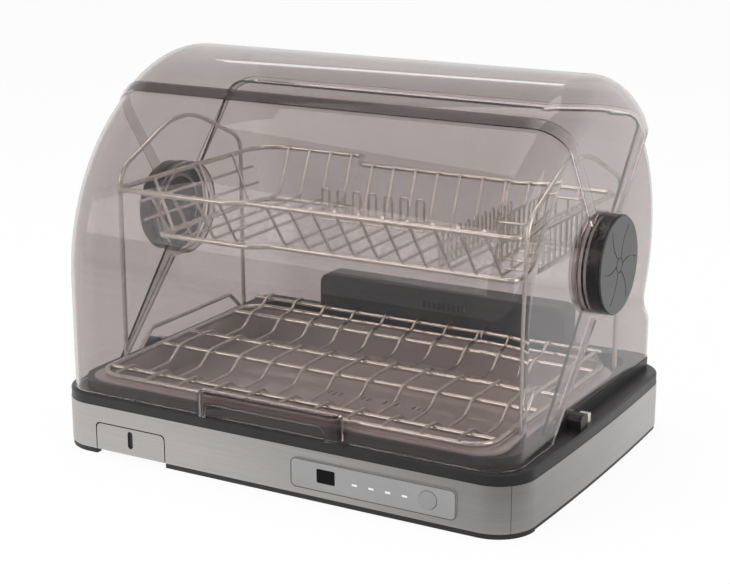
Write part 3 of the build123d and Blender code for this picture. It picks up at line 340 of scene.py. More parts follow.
# Blower housing at the back: a dark moulded box with two rows of small air slots, closed by a back plate with
# an intake ring; the impeller, motor, finned heater and its frame are inside.
blower_dark = moulded_plastic(
    "blower_dark", (0.042, 0.043, 0.050), (0.058, 0.060, 0.068), rough=(0.38, 0.5), pits=(1100, 0.00006))
heater_alloy = plated_metal("heater_alloy", (0.45, 0.44, 0.42), (0.58, 0.57, 0.55), rough=(0.35, 0.5))
smooth_piece("blower_housing", blower_dark, "base", crease_degrees=36)
dress(blower_dark, "blower_back", "fan_impeller")
dress(heater_alloy, "heater_element")

# Rear cover: a fixed shell blown in smoky clear plastic, with a dome, a neck and a flared foot on the rim's
# ledge. A round boss on each side carries the hub, and the back has a row of vent slots.
hub_y, hub_z = 0.017, 0.194
cover_wall = 0.0026
cover_crease = 35
rear_half, rear_edge = 0.221, 0.014
rear_dome, rear_front_angle = 0.149, 51
neck_angle, neck_blend = -26, 0.008
flare_z, flare_blend = 0.110, 0.015
rear_foot_y, ledge_z = 0.1675, 0.067
rear_front_foot = (-0.099, 0.0584)
boss_radius = 0.046
boss_inside = boss_radius - cover_wall
boss_outer_x, boss_inner_x = 0.2258, 0.2125
boss_lip_play = 0.0001
screw_hole = 0.00205
edge_steps, free_steps = 12, 40
vent_first, vent_pitch, vent_count = -0.074, 0.007, 12
vent_width, vent_low, vent_high = 0.003, 0.072, 0.088
vent_through, vent_steps = 0.005, 8
cover_smoke = smoky_clear("cover_smoke", (0.635, 0.592, 0.584), rough=0.008, clear=1.0)


def maths(tree, operation, *terms):
    """One sum on sockets and plain numbers."""
    node = tree.nodes.new("ShaderNodeMath")
    node.operation = operation
    for socket, term in zip(node.inputs, terms):
        if isinstance(term, float):
            socket.default_value = term
        else:
            tree.links.new(term, socket)
    return node.outputs["Value"]


def painted_light_ends(finish, middle, side, low_x, high_x):
    """Tint of a blown cover: darker over its middle and paler at both ends, the paler ends being painted
    reflected light.
    """
    tree = finish.node_tree
    where = tree.nodes.new("ShaderNodeTexCoord")
    parts = tree.nodes.new("ShaderNodeSeparateXYZ")
    tree.links.new(where.outputs["Object"], parts.inputs["Vector"])
    off_middle = maths(tree, "ABSOLUTE", parts.outputs["X"])
    ends = tree.nodes.new("ShaderNodeMix")
    ends.data_type = "RGBA"
    preset(ends, {"A": (*middle, 1), "B": (*side, 1)})
    tree.links.new(ranged(tree, off_middle, (low_x, high_x), (0, 1)), ends.inputs["Factor"])
    tree.links.new(ends.outputs["Result"], tree.nodes["Principled BSDF"].inputs["Base Color"])


# The paler ends of the cover's tint are painted light: a painted sheen for lamp light reflected on its side
# walls.
painted_light_ends(cover_smoke, (0.56, 0.517, 0.509), (0.71, 0.672, 0.662), low_x=0.185, high_x=0.229)


def unit(angle):
    """Direction at an angle in degrees."""
    return cos(radians(angle)), sin(radians(angle))


def about_hub(radius, angle):
    """Side-view point at a radius and an angle about the hub axis."""
    return hub_y + radius * cos(radians(angle)), hub_z + radius * sin(radians(angle))


def arc_run(centre, radius, start, end, steps, inward):
    """Side-view points on an arc, each with the direction into the cover: inward 1 is towards the centre."""
    run = []
    for step in range(steps + 1):
        c, s = unit(start + (end - start) * step / steps)
        run.append((centre[0] + radius * c, centre[1] + radius * s, -inward * c, -inward * s))
    return run


def straight_run(start, end, steps, normal):
    """Side-view points on a straight line, each with the direction into the cover."""
    run = []
    for step in range(steps + 1):
        y = start[0] + (end[0] - start[0]) * step / steps
        z = start[1] + (end[1] - start[1]) * step / steps
        run.append((y, z, *normal))
    return run


def bisect(measure, low, high):
    """Place between low and high where a rising measure passes zero."""
    for _ in range(50):
        middle = (low + high) / 2
        low, high = (middle, high) if measure(middle) < 0 else (low, middle)
    return (low + high) / 2


def chained(runs):
    """Runs joined end to end without doubled points."""
    line = list(runs[0])
    for run in runs[1:]:
        line += run[1:]
    return line


def rear_profile():
    """Rear cover's outside in the side view, from its front edge over the dome and neck down to the ledge."""
    neck = about_hub(rear_dome, neck_angle)
    length = hypot(rear_foot_y - neck[0], flare_z - neck[1])
    along = ((rear_foot_y - neck[0]) / length, (flare_z - neck[1]) / length)
    out = (-along[1], along[0])

    def blend_centre(angle):
        return about_hub(rear_dome + neck_blend, angle)

    def short_of_line(angle):
        y, z = blend_centre(angle)
        return (y - neck[0]) * out[0] + (z - neck[1]) * out[1] - neck_blend
    turn_angle = bisect(short_of_line, neck_angle, 0)
    centre = blend_centre(turn_angle)
    line_angle = degrees(atan2(-out[1], -out[0]))
    lean = acos(-along[1])
    cut = flare_blend * sin(lean / 2) / cos(lean / 2)
    low_centre = (rear_foot_y - flare_blend, flare_z - cut)
    first = (centre[0] - out[0] * neck_blend, centre[1] - out[1] * neck_blend)
    second = (rear_foot_y - along[0] * cut, flare_z - along[1] * cut)
    return chained([
        arc_run((hub_y, hub_z), rear_dome, rear_front_angle, turn_angle, steps=40, inward=1),
        arc_run(centre, neck_blend, turn_angle - 180, line_angle, steps=14, inward=-1),
        straight_run(first, second, steps=2, normal=(-out[0], -out[1])),
        arc_run(low_centre, flare_blend, degrees(lean), 0, steps=12, inward=1),
        straight_run((rear_foot_y, flare_z - cut), (rear_foot_y, ledge_z), steps=3, normal=(-1, 0)),
    ])


def over_edge(half, edge, depth, step):
    """Point on a cover's round side edge: its distance from the middle, and its depth under the outside."""
    lean = pi / 2 * step / edge_steps
    return half - edge + (edge - depth) * sin(lean), edge - (edge - depth) * cos(lean)


def side_wall(verts, faces, rim, side, x_side, turning, pad, collar):
    """Flat side of a skin from its rim to the hub's pad, and a collar of (radius, x) steps at the hub."""
    angles = [atan2(verts[v][2] - hub_z, verts[v][1] - hub_y) for v in rim]
    for k in range(1, len(angles)):
        while turning * (angles[k] - angles[k - 1]) < -pi:
            angles[k] += turning * 2 * pi
    ring = []
    for angle, v in zip(angles, rim):
        if hypot(verts[v][1] - hub_y, verts[v][2] - hub_z) < pad + 1e-6:
            ring.append(v)
            continue
        ring.append(len(verts))
        verts.append((x_side, hub_y + pad * cos(angle), hub_z + pad * sin(angle)))
    for k in range(len(rim) - 1):
        faces.append(tuple(dict.fromkeys((rim[k], rim[k + 1], ring[k + 1], ring[k]))))
    last = angles[-1]
    gap = turning * 2 * pi - (last - angles[0])
    for step in range(1, free_steps):
        angles.append(last + gap * step / free_steps)
        ring.append(len(verts))
        verts.append((x_side, hub_y + pad * cos(angles[-1]), hub_z + pad * sin(angles[-1])))
    for radius, x in collar:
        inner = []
        for angle in angles:
            inner.append(len(verts))
            verts.append((side * x, hub_y + radius * cos(angle), hub_z + radius * sin(angle)))
        for k in range(len(ring)):
            after = (k + 1) % len(ring)
            faces.append((ring[k], ring[after], inner[after], inner[k]))
        ring = inner


def shell_skin(profile, half, edge, depth, extra_rim, pad, collar):
    """One skin of a cover at a depth under its outside: swept along the profile with round side edges, and
    closed by two flat sides, whose rim goes on along the extra points."""
    verts, faces, rows = [], [], []
    for y, z, ny, nz in profile:
        row = []
        for side, order in ((-1, range(edge_steps, -1, -1)), (1, range(edge_steps + 1))):
            for step in order:
                x, rise = over_edge(half, edge, depth, step)
                row.append(len(verts))
                verts.append((side * x, y + ny * rise, z + nz * rise))
        rows.append(row)
    for low, high in zip(rows, rows[1:]):
        for k in range(len(low) - 1):
            faces.append((low[k], low[k + 1], high[k + 1], high[k]))
    turning = 1 if extra_rim[0][0] < 0 else -1
    for side, column in ((-1, 0), (1, -1)):
        x_side = side * (half - depth)
        rim = [row[column] for row in rows]
        for y, z in extra_rim:
            rim.append(len(verts))
            verts.append((x_side, y, z))
        side_wall(verts, faces, rim, side, x_side, turning, pad, collar)
    return verts, faces


def closed_shell(name, skins):
    """Outer and inner skin of the same pattern, joined along their open edges."""
    (outer, faces), (inner, _) = skins
    count = len(outer)
    uses = {}
    for face in faces:
        for a, b in zip(face, face[1:] + face[:1]):
            uses.setdefault((min(a, b), max(a, b)), []).append((a, b))
    under = [tuple(count + v for v in face[::-1]) for face in faces]
    strips = [(b, a, count + a, count + b) for ((a, b), *more) in uses.values() if not more]
    return outward(plain_mesh(name, outer + inner, faces + under + strips))


def front_prisms(name, outlines, low_y, high_y):
    """Solid prisms between two depths from front-view outlines, as one mesh."""
    verts, faces = [], []
    for outline in outlines:
        base, size = len(verts), len(outline)
        verts += [(x, y, z) for y in (low_y, high_y) for x, z in outline]
        faces += [tuple(range(base, base + size)), tuple(range(base + 2 * size - 1, base + size - 1, -1))]
        for k in range(size):
            after = (k + 1) % size
            faces.append((base + k, base + size + k, base + size + after, base + after))
    return outward(plain_mesh(name, verts, faces))


def cut_away(mesh, plug):
    """Mesh with a plug's shape cut out of it."""
    tool = placed(plug.name, plug)
    shape = modified(mesh, "BOOLEAN", object=tool, operation="DIFFERENCE", solver="EXACT")
    bpy.data.objects.remove(tool)
    return shape


def slot_outline(middle):
    """Upright vent slot with round ends."""
    bend = vent_width / 2
    turns = [pi * k / vent_steps for k in range(vent_steps + 1)]
    upper = [(middle + bend * cos(turn), vent_high - bend + bend * sin(turn)) for turn in turns]
    return upper + [(2 * middle - x, vent_low + vent_high - z) for x, z in upper]


rear_line = rear_profile()
front_c, front_s = unit(degrees(atan2(rear_front_foot[1] - hub_z, rear_front_foot[0] - hub_y)))
rear_foot_run = [(y / 1000, ledge_z) for y in range(120, -91, -15)]
rear_foot_run.append((hub_y + (ledge_z - hub_z) * front_c / front_s, ledge_z))
rear_skins = []
for depth, boss in ((0, boss_radius), (cover_wall, boss_inside)):
    boss_collar = [(boss, boss_outer_x - depth), (screw_hole, boss_outer_x - depth)]
    rear_skins.append(shell_skin(rear_line, rear_half, rear_edge, depth, rear_foot_run, boss, boss_collar))
vent_outlines = [slot_outline(vent_first + k * vent_pitch + vent_width / 2) for k in range(vent_count)]
vent_plugs = front_prisms("vent_plugs", vent_outlines, rear_foot_y - vent_through, rear_foot_y + vent_through)
rear_mesh = shaded(cut_away(closed_shell("rear_cover_shell", rear_skins), vent_plugs), cover_crease)
add_piece("rear_cover_shell", rear_mesh, cover_smoke, "base", ["rear_cover"])


def lathe_ring(name, inner, outer, low_x, high_x, sides=72):
    """Plain ring about the hub axis, on both sides of the part."""
    verts, faces = [], []
    for side in (-1, 1):
        base = len(verts)
        for k in range(sides):
            c, s = cos(2 * pi * k / sides), sin(2 * pi * k / sides)
            for radius, x in ((inner, low_x), (outer, low_x), (outer, high_x), (inner, high_x)):
                verts.append((side * x, hub_y + radius * c, hub_z + radius * s))
        for k in range(sides):
            a, b = base + 4 * k, base + 4 * ((k + 1) % sides)
            for j in range(4):
                faces.append((a + j, a + (j + 1) % 4, b + (j + 1) % 4, b + j))
    return shaded(outward(plain_mesh(name, verts, faces)), cover_crease)


boss_lips = lathe_ring("boss_lips", boss_inside, boss_radius, boss_inner_x,
                       rear_half - cover_wall - boss_lip_play)
add_piece("boss_lips", boss_lips, cover_smoke, "base")

# Swinging cover: one smoky clear moulding that stands upright at its foot, bends back in a broad arc to a
# ridge and runs over the top as a dome about the hub axis. Its rear edge and lower arms have turned-in
# flanges, a darker band runs along the ridge, and a hood on its front is its handle.
cover_half, cover_edge = 0.229, 0.030
cover_dome, rear_edge_angle = 0.16295, 47
cover_front_y, cover_foot_z, straight_z = -0.170, 0.0584, 0.159
front_turn = 52
ridge_angle, ridge_blend = 124.33, 0.042
ridge_half_band, ridge_height = 0.006, 0.0015
ridge_side_reaches, ridge_search = (0.053, 0.075, 0.100), (0.060, 0.175)
pad_radius, bush_hole = 0.050, 0.03275
flange_reach, flange_gap = 0.007, 0.00004
flange_side_radii = (0.052, 0.08, 0.105)
cover_foot_places, arm_shares = (-0.120, -0.105), (0.2, 0.4, 0.6, 0.8, 1)
arm_foot, arm_root = (-0.085, cover_foot_z), about_hub(boss_radius, 256)
lip_half, lip_reach, lip_round, lip_edge = 0.073, 0.012, 0.009, 0.004
lip_low, lip_top, lip_play = 0.0615, 0.084, 0.00005
lip_hood, lip_end_width, lip_mouth_round = 0.010, 0.012, 0.008
mouth_through, lip_steps = 0.005, 8


def cover_profile():
    """Swinging cover's outside in the side view, from its rear edge over the dome and ridge to its foot."""
    c, s = unit(front_turn)
    ridge_y, ridge_z = about_hub(cover_dome, ridge_angle)
    bend_z = ridge_z - (ridge_y - cover_front_y) * c / s
    front_radius = (bend_z - straight_z) * (1 + c) / s
    centre = (cover_front_y + front_radius, straight_z)
    arc_end = (centre[0] - front_radius * c, centre[1] + front_radius * s)
    normal = (c, -s)

    def beyond_line(angle):
        y, z = about_hub(cover_dome - ridge_blend, angle)
        return ridge_blend - ((y - arc_end[0]) * normal[0] + (z - arc_end[1]) * normal[1])
    ridge_turn = bisect(beyond_line, 90, 180 - front_turn)
    blend_centre = about_hub(cover_dome - ridge_blend, ridge_turn)
    line_top = (blend_centre[0] - normal[0] * ridge_blend, blend_centre[1] - normal[1] * ridge_blend)
    return chained([
        arc_run((hub_y, hub_z), cover_dome, rear_edge_angle, ridge_turn, steps=36, inward=1),
        arc_run(blend_centre, ridge_blend, ridge_turn, 180 - front_turn, steps=12, inward=1),
        straight_run(line_top, arc_end, steps=6, normal=normal),
        arc_run(centre, front_radius, 180 - front_turn, 180, steps=18, inward=1),
        straight_run((cover_front_y, straight_z), (cover_front_y, cover_foot_z), steps=2, normal=(1, 0)),
    ])


def arm_point(share):
    """Side-view point on the lower arm's edge, from its foot at 0 to the hub at 1."""
    y = arm_foot[0] + (arm_root[0] - arm_foot[0]) * share
    return y, arm_foot[1] + (arm_root[1] - arm_foot[1]) * share


def beyond_pad(share):
    """How far a place on the arm's edge lies inside the hub's pad."""
    y, z = arm_point(share)
    return pad_radius - hypot(y - hub_y, z - hub_z)


cover_line = cover_profile()
pad_share = bisect(beyond_pad, 0.5, 1)
cover_rim = [(y, cover_foot_z) for y in cover_foot_places] + [arm_foot]
cover_rim += [arm_point(share * pad_share) for share in arm_shares]
cover_skins = [shell_skin(cover_line, cover_half, cover_edge, depth, cover_rim, pad_radius,
                          [(bush_hole, cover_half - depth)]) for depth in (0, cover_wall)]
cover_mesh = shaded(closed_shell("front_cover_shell", cover_skins), cover_crease)
add_piece("front_cover_shell", cover_mesh, cover_smoke, "cover", ["front_cover"])


def thickened(mesh, wall, side):
    """A skin given its wall: side -1 under it, 1 over it, 0 to both sides."""
    solid = modified(mesh, "SOLIDIFY", thickness=wall, offset=side, use_even_offset=True)
    return shaded(solid, cover_crease)


def facing(mesh, probe, direction):
    """Open skin turned so that it faces a side-view direction at one of its points."""
    work = bmesh.new()
    work.from_mesh(mesh)
    bmesh.ops.recalc_face_normals(work, faces=work.faces)
    spot = mesh.vertices[probe].co
    near = min(work.faces, key=lambda face: (face.calc_center_median() - spot).length)
    if near.normal.y * direction[0] + near.normal.z * direction[1] < 0:
        bmesh.ops.reverse_faces(work, faces=work.faces)
    work.to_mesh(mesh)
    work.free()
    return mesh


def rear_flange_line(depth):
    """Line along the rear edge at a depth under the outside, from one hub pad over the top to the other."""
    y, z, ny, nz = cover_line[0]
    half_line = [(cover_half - depth, *about_hub(radius, rear_edge_angle)) for radius in flange_side_radii]
    for step in range(edge_steps, -1, -1):
        x, rise = over_edge(cover_half, cover_edge, depth, step)
        half_line.append((x, y + ny * rise, z + nz * rise))
    line = [(-x, a, b) for x, a, b in half_line] + half_line[::-1]
    shift = (nz * cover_wall / 2, -ny * cover_wall / 2)
    return [(x, a + shift[0], b + shift[1]) for x, a, b in line]


def rear_flange(name):
    """Turned-in flange along the rear edge."""
    outer, inner = rear_flange_line(cover_wall + flange_gap), rear_flange_line(flange_reach)
    count = len(outer)
    faces = [(k, k + 1, count + k + 1, count + k) for k in range(count - 1)]
    return thickened(plain_mesh(name, outer + inner, faces), cover_wall, 0)


def arm_flanges(name):
    """Turned-in flange along the lower arm on both sides."""
    run = hypot(arm_root[0] - arm_foot[0], arm_root[1] - arm_foot[1])
    square = ((arm_root[1] - arm_foot[1]) / run, -(arm_root[0] - arm_foot[0]) / run)
    shift = (-square[0] * cover_wall / 2, -square[1] * cover_wall / 2)
    verts, faces = [], []
    for side in (-1, 1):
        base = len(verts)
        for share in (0.0, 0.5, 1.0):
            y, z = arm_point(share * pad_share)
            for depth in (cover_wall + flange_gap, flange_reach):
                verts.append((side * (cover_half - depth), y + shift[0], z + shift[1]))
        for k in range(2):
            faces.append((base + 2 * k, base + 2 * k + 1, base + 2 * k + 3, base + 2 * k + 2))
    return thickened(plain_mesh(name, verts, faces), cover_wall, 0)


add_piece("rear_flange", rear_flange("rear_flange"), cover_smoke, "cover")
add_piece("arm_flanges", arm_flanges("arm_flanges"), cover_smoke, "cover")


def depth_inside(y, z):
    """How far a side-view point lies inside the cover's outside; less than zero beyond it."""
    best, sense = 1.0, 1
    for first, second in zip(cover_line, cover_line[1:]):
        run_y, run_z = second[0] - first[0], second[1] - first[1]
        off_y, off_z = y - first[0], z - first[1]
        share = min(1.0, max(0.0, (off_y * run_y + off_z * run_z) / (run_y ** 2 + run_z ** 2)))
        gap = hypot(off_y - share * run_y, off_z - share * run_z)
        if gap < best:
            best = gap
            inward = off_y * (first[2] + second[2]) + off_z * (first[3] + second[3])
            sense = 1 if inward > 0 else -1
    return sense * best


def ridge_band(name):
    """Raised band along the ridge: down both sides to the hub pads and across the top."""
    c, s = unit(ridge_angle)
    columns = []
    for offset in [ridge_half_band * share for share in (-1.0, -0.5, 0.0, 0.5, 1.0)]:
        def spot(reach):
            return hub_y + c * reach - s * offset, hub_z + s * reach + c * offset
        half_line = [(cover_half, *spot(reach)) for reach in ridge_side_reaches]
        for step in range(edge_steps, -1, -1):
            depth = cover_edge * (1 - cos(pi / 2 * step / edge_steps))
            y, z = spot(bisect(lambda reach: depth - depth_inside(*spot(reach)), *ridge_search))
            inside = min(cover_edge, max(0.0, depth_inside(y, z)))
            x = cover_half - cover_edge + sqrt(max(0.0, cover_edge ** 2 - (cover_edge - inside) ** 2))
            half_line.append((x, y, z))
        columns.append([(-x, y, z) for x, y, z in half_line] + half_line[::-1])
    length = len(columns[0])
    faces = []
    for k in range(len(columns) - 1):
        for j in range(length - 1):
            a = k * length + j
            faces.append((a, a + 1, a + length + 1, a + length))
    mesh = plain_mesh(name, [point for column in columns for point in column], faces)
    mesh = facing(mesh, 2 * length + length // 2, (c, s))
    return thickened(modified(mesh, "DISPLACE", strength=flange_gap, mid_level=0), ridge_height, 1)


ridge_smoke = smoky_clear("ridge_smoke", (0.30, 0.27, 0.26), rough=0.01, clear=1.0)
# The ridge band's paler ends are painted light as well, a painted sheen over its dark middle.
painted_light_ends(ridge_smoke, (0.22, 0.195, 0.19), (0.80, 0.77, 0.76), low_x=0.190, high_x=0.226)
add_piece("ridge_band", ridge_band("ridge_band"), ridge_smoke, "cover")


def handle_lip(name):
    """Hood on the front of the cover for the fingers: round ends, closed on top, open below and in front."""
    y_face, y_front = cover_front_y - lip_play, cover_front_y - lip_reach
    verts, faces, rows = [], [], []
    for step in range(lip_steps + 1):
        lean = pi / 2 * max(0, step - 1) / (lip_steps - 1)
        inset = lip_edge * (1 - cos(lean))
        z = lip_low if step == 0 else lip_top - lip_edge + lip_edge * sin(lean)
        bend = lip_round - inset
        line = [(-lip_half + inset, y_face)]
        for k in range(lip_steps + 1):
            c, s = unit(180 + 90 * k / lip_steps)
            line.append((-lip_half + inset + bend + bend * c, y_front + inset + bend + bend * s))
        line += [(-x, y) for x, y in line[::-1]]
        rows.append([len(verts) + k for k in range(len(line))])
        verts += [(x, y, z) for x, y in line]
    cap = [len(verts) + k for k in range(len(rows[-1]))]
    verts += [(verts[v][0], y_face, lip_top) for v in rows[-1]]
    rows.append(cap)
    for lower, upper in zip(rows, rows[1:]):
        for k in range(len(lower) - 1):
            faces.append((lower[k], lower[k + 1], upper[k + 1], upper[k]))
    skin = facing(plain_mesh(name, verts, faces), rows[0][len(rows[0]) // 2], (-1, 0))
    mouth = round_outline(lip_end_width - lip_half, lip_half - lip_end_width, lip_low - lip_hood,
                          lip_top - lip_hood, lip_mouth_round)
    plug = front_prisms("mouth_plug", [mouth], y_front - mouth_through, y_front + cover_wall + lip_play)
    return shaded(cut_away(thickened(skin, cover_wall, -1), plug), cover_crease)


lip_smoke = smoky_clear("lip_smoke", (0.40, 0.35, 0.34), rough=0.02, clear=1.0)
add_piece("handle_lip", handle_lip("handle_lip"), lip_smoke, "cover")

# Hubs outside the cover: a glossy black ring with a dark grey disc pressed in, which has six curved grooves
# round a small eye. One screw under each disc holds the ring to the drum.
hub_crease = 30
ring_black = moulded_plastic(
    "ring_black", (0.010, 0.010, 0.011), (0.016, 0.016, 0.017), rough=(0.14, 0.22), pits=(600, 0.00002))
disc_grey = moulded_plastic(
    "disc_grey", (0.060, 0.060, 0.063), (0.080, 0.080, 0.083), rough=(0.30, 0.40), pits=(1500, 0.00003))
for side in ("left", "right"):
    smooth_piece("hub_ring_" + side, ring_black, "base", hub_crease)
    smooth_piece("hub_disc_" + side, disc_grey, "base", hub_crease)

# Lower rack: drawn stainless wire, bent and spot welded, electropolished to a pale warm shine. A rail loop
# with four long rails lies on the tray's edge; eleven cross wires on top dip twice to hold plates, with a
# guard rail at their raised rear ends and a lifting loop on each side. Measures of wires are in millimetres.
rail_wire, cross_wire, loop_wire = 5.0, 3.2, 4.0
rail_z, rail_bend, rail_end = 73.5, 22.8, 197.45
rail_x, rail_front, rail_back = 200.0, -154.0, 105.0
rail_places = (-133.0, -52.0, -6.0, 73.5)
cross_z, cross_bend, cross_pitch, cross_count = 77.65, 20.0, 35.0, 11
dip, lift = -13.0, 9.0
cross_line = [(-156.0, 0), (-128.0, 0), (-112.0, dip), (-74.0, dip), (-57.0, 0), (-2.0, 0), (14.0, dip),
              (54.0, dip), (68.0, 0), (88.0, 0), (98.0, lift), (110.0, lift)]
guard_x, guard_y, guard_z = 193.0, 104.5, 83.0
loop_foot, loop_rise, loop_bend = 77.55, 16, 6.0
wire_crease = 50


def wire_tree():
    """Bends each line of points by its own bend radius and draws it as round wire."""
    tree = bpy.data.node_groups.new("drawn_wire", "GeometryNodeTree")
    face = tree.interface
    face.new_socket("Geometry", in_out="INPUT", socket_type="NodeSocketGeometry")
    thick = face.new_socket("Wire diameter", in_out="INPUT", socket_type="NodeSocketFloat")
    metal = face.new_socket("Wire metal", in_out="INPUT", socket_type="NodeSocketMaterial")
    face.new_socket("Geometry", in_out="OUTPUT", socket_type="NodeSocketGeometry")
    add, link = tree.nodes.new, tree.links.new
    start = add("NodeGroupInput")
    bend = add("GeometryNodeFilletCurve")
    bend.mode = "POLY"
    preset(bend, {"Count": 6, "Limit Radius": True})
    even = preset(add("GeometryNodeSetCurveRadius"), {"Radius": 1.0})
    section = preset(add("GeometryNodeCurvePrimitiveCircle"), {"Resolution": 12})
    sweep = preset(add("GeometryNodeCurveToMesh"), {"Fill Caps": True})
    paint = add("GeometryNodeSetMaterial")
    chain = [start, bend, even, sweep, add("GeometryNodeSetShadeSmooth"), add("GeometryNodeRealizeInstances"),
             paint, add("NodeGroupOutput")]
    for first, second in zip(chain, chain[1:]):
        link(first.outputs[0], second.inputs[0])
    link(add("GeometryNodeInputRadius").outputs["Radius"], bend.inputs["Radius"])
    link(maths(tree, "MULTIPLY", start.outputs["Wire diameter"], 0.5), section.inputs["Radius"])
    link(section.outputs["Curve"], sweep.inputs["Profile Curve"])
    link(start.outputs["Wire metal"], paint.inputs["Material"])
    return tree, thick.identifier, metal.identifier


drawn_wire, diameter_input, metal_input = wire_tree()
wire_steel = plated_metal("wire_steel", (0.66, 0.63, 0.58), (0.78, 0.75, 0.70), rough=(0.16, 0.24))


def bent_wires(name, runs):
    """Plain mesh of bent wires; each run is (diameter, closed, bends, points in millimetres)."""
    whole = bmesh.new()
    for diameter in sorted({run[0] for run in runs}):
        lines = bpy.data.curves.new(name + "_lines", "CURVE")
        lines.dimensions = "3D"
        for _, closed, bends, points in [run for run in runs if run[0] == diameter]:
            line = lines.splines.new("POLY")
            line.points.add(len(points) - 1)
            line.use_cyclic_u = closed
            for k, (x, y, z) in enumerate(points):
                line.points[k].co = (x / 1000, y / 1000, z / 1000, 1)
                line.points[k].radius = (bends[k] if isinstance(bends, list) else bends) / 1000
        holder = placed(name + "_lines", lines)
        draw = holder.modifiers.new("drawn_wire", "NODES")
        draw.node_group = drawn_wire
        draw[diameter_input] = diameter / 1000
        draw[metal_input] = wire_steel
        whole.from_mesh(worked_out(holder))
    bmesh.ops.remove_doubles(whole, verts=whole.verts, dist=1e-7)
    bmesh.ops.recalc_face_normals(whole, faces=whole.faces)
    mesh = bpy.data.meshes.new(name)
    whole.to_mesh(mesh)
    whole.free()
    mesh.shade_smooth()
    mesh.set_sharp_from_angle(angle=radians(wire_crease))
    return mesh


def wire_piece(name, runs, nodes):
    """Welded wires as one piece."""
    add_piece(name, bent_wires(name, runs), wire_steel, "base", nodes)


def straight_wire(diameter, start, end):
    """Run of one straight wire."""
    return diameter, False, 0, [start, end]


rack_corners = [(-rail_x, rail_front, rail_z), (rail_x, rail_front, rail_z), (rail_x, rail_back, rail_z),
                (-rail_x, rail_back, rail_z)]
rack_runs = [(rail_wire, True, rail_bend, rack_corners)]
rack_runs += [straight_wire(rail_wire, (-rail_end, y, rail_z), (rail_end, y, rail_z)) for y in rail_places]
for number in range(cross_count):
    x = (number - cross_count // 2) * cross_pitch
    rack_runs.append((cross_wire, False, cross_bend, [(x, y, cross_z + up) for y, up in cross_line]))
rack_runs.append(straight_wire(loop_wire, (-guard_x, guard_y, guard_z), (guard_x, guard_y, guard_z)))
wire_piece("lower_rack_wires", rack_runs, ["lower_rack", "rack_rails", "rack_cross_wires"])
loop_top = loop_foot + loop_rise
loop_line = [(-86.0, loop_foot), (-68.0, loop_top), (66.0, loop_top), (84.0, loop_foot)]
loop_runs = [(loop_wire, False, loop_bend, [(x, y, z) for y, z in loop_line]) for x in (-rail_x, rail_x)]
wire_piece("rack_side_loops", loop_runs, ["rack_loops"])

# Arches: one heavy wire on each side that stands on the tray's flange, bent over a broad former at the top.
# They carry the upper basket.
arch_wire, arch_x = 4.5, 207.0
arch_line = [(-100.0, 69.0), (-100.0, 252.0), (1.0, 297.0), (102.0, 252.0), (102.0, 69.0)]
arch_bends = [0, 24.0, 90.0, 24.0, 0]
for side, x in (("left", -arch_x), ("right", arch_x)):
    wire_piece("arch_wire_" + side, [(arch_wire, False, arch_bends, [(x, y, z) for y, z in arch_line])],
               ["arch_" + side])

# Upper basket: top and floor loops with a step at the left, U wires between them, and rails and short
# uprights at its left side. Two combs of hairpins hold plates.
basket_wire, u_wire, comb_wire = 5.0, 3.0, 2.4
top_half, top_depth, top_left_depth, top_z = 202.0, (-104.0, 100.0), (-112.0, 138.0), 238.0
floor_half, floor_depth, floor_left_depth, floor_z = 182.0, (-64.0, 78.0), (-76.0, 112.0), 190.0
jog, jog_end = -82.0, -64.0
loop_bends = [8.0] * 7 + [30.0]
u_top, u_low, u_bend, seat, floor_play = 240.0, 194.15, 8.0, 4.05, 2
side_run, side_drop = top_half - floor_half, top_z - floor_z
side_rails, side_rail_ends = (222.0, 206.0), (-88.0, 104.0)
upright_places, upright_low = (-58.0, 16.0, 74.0), 188.0
comb_pitch, comb_width, comb_height, comb_bend, comb_weld = 17.0, 8.0, 30.0, 2.6, 1.25
long_comb, cross_comb = (-66.0, 30.0, 196.9), (108.0, -64.05, 193.75)


def stepped_loop(half, depth, left_depth, z):
    """Corners of a basket loop, deeper at its left end."""
    (front, back), (left_front, left_back) = depth, left_depth
    return [(-half, left_front, z), (jog, left_front, z), (jog_end, front, z), (half, front, z),
            (half, back, z), (jog_end, back, z), (jog, left_back, z), (-half, left_back, z)]


def side_line(z, offset):
    """Place of the basket's sloping left side at a height, with an offset square to it."""
    slope = hypot(side_run, side_drop)
    return -floor_half - side_run * (z - floor_z) / side_drop + offset * slope / side_drop


def comb_runs(corner, direction, count):
    """Row of hairpins on a base wire, from a corner along a direction."""
    def place(along, up):
        return corner[0] + along * direction[0], corner[1] + along * direction[1], corner[2] + up
    runs = [straight_wire(comb_wire, place(0, 0), place((count - 1) * comb_pitch + comb_width, 0))]
    for number in range(count):
        start = number * comb_pitch
        end = start + comb_width
        runs.append((comb_wire, False, comb_bend, [place(start, comb_weld), place(start, comb_height),
                                                   place(end, comb_height), place(end, comb_weld)]))
    return runs


top_loop = stepped_loop(top_half, top_depth, top_left_depth, top_z)
floor_loop = stepped_loop(floor_half, floor_depth, floor_left_depth, floor_z)
basket_runs = [(basket_wire, True, loop_bends, loop) for loop in (top_loop, floor_loop)]
u_places = [(-168.0 + 25.0 * n, top_left_depth, floor_left_depth) for n in range(4)]
u_places += [(-48.0 + 24.0 * n, top_depth, floor_depth) for n in range(10)]
for x, top, low in u_places:
    basket_runs.append((u_wire, False, u_bend, [(x, top[0] + seat, u_top), (x, low[0] - floor_play, u_low),
                                                (x, low[1] + floor_play, u_low), (x, top[1] - seat, u_top)]))
for z in side_rails:
    basket_runs.append(straight_wire(u_wire, *[(side_line(z, 1.0), y, z) for y in side_rail_ends]))
for y in upright_places:
    basket_runs.append(straight_wire(u_wire, *[(side_line(z, seat), y, z) for z in (u_top, upright_low)]))
basket_runs += comb_runs(long_comb, (1, 0), 7)
basket_runs += comb_runs(cross_comb, (0, 1), 9)
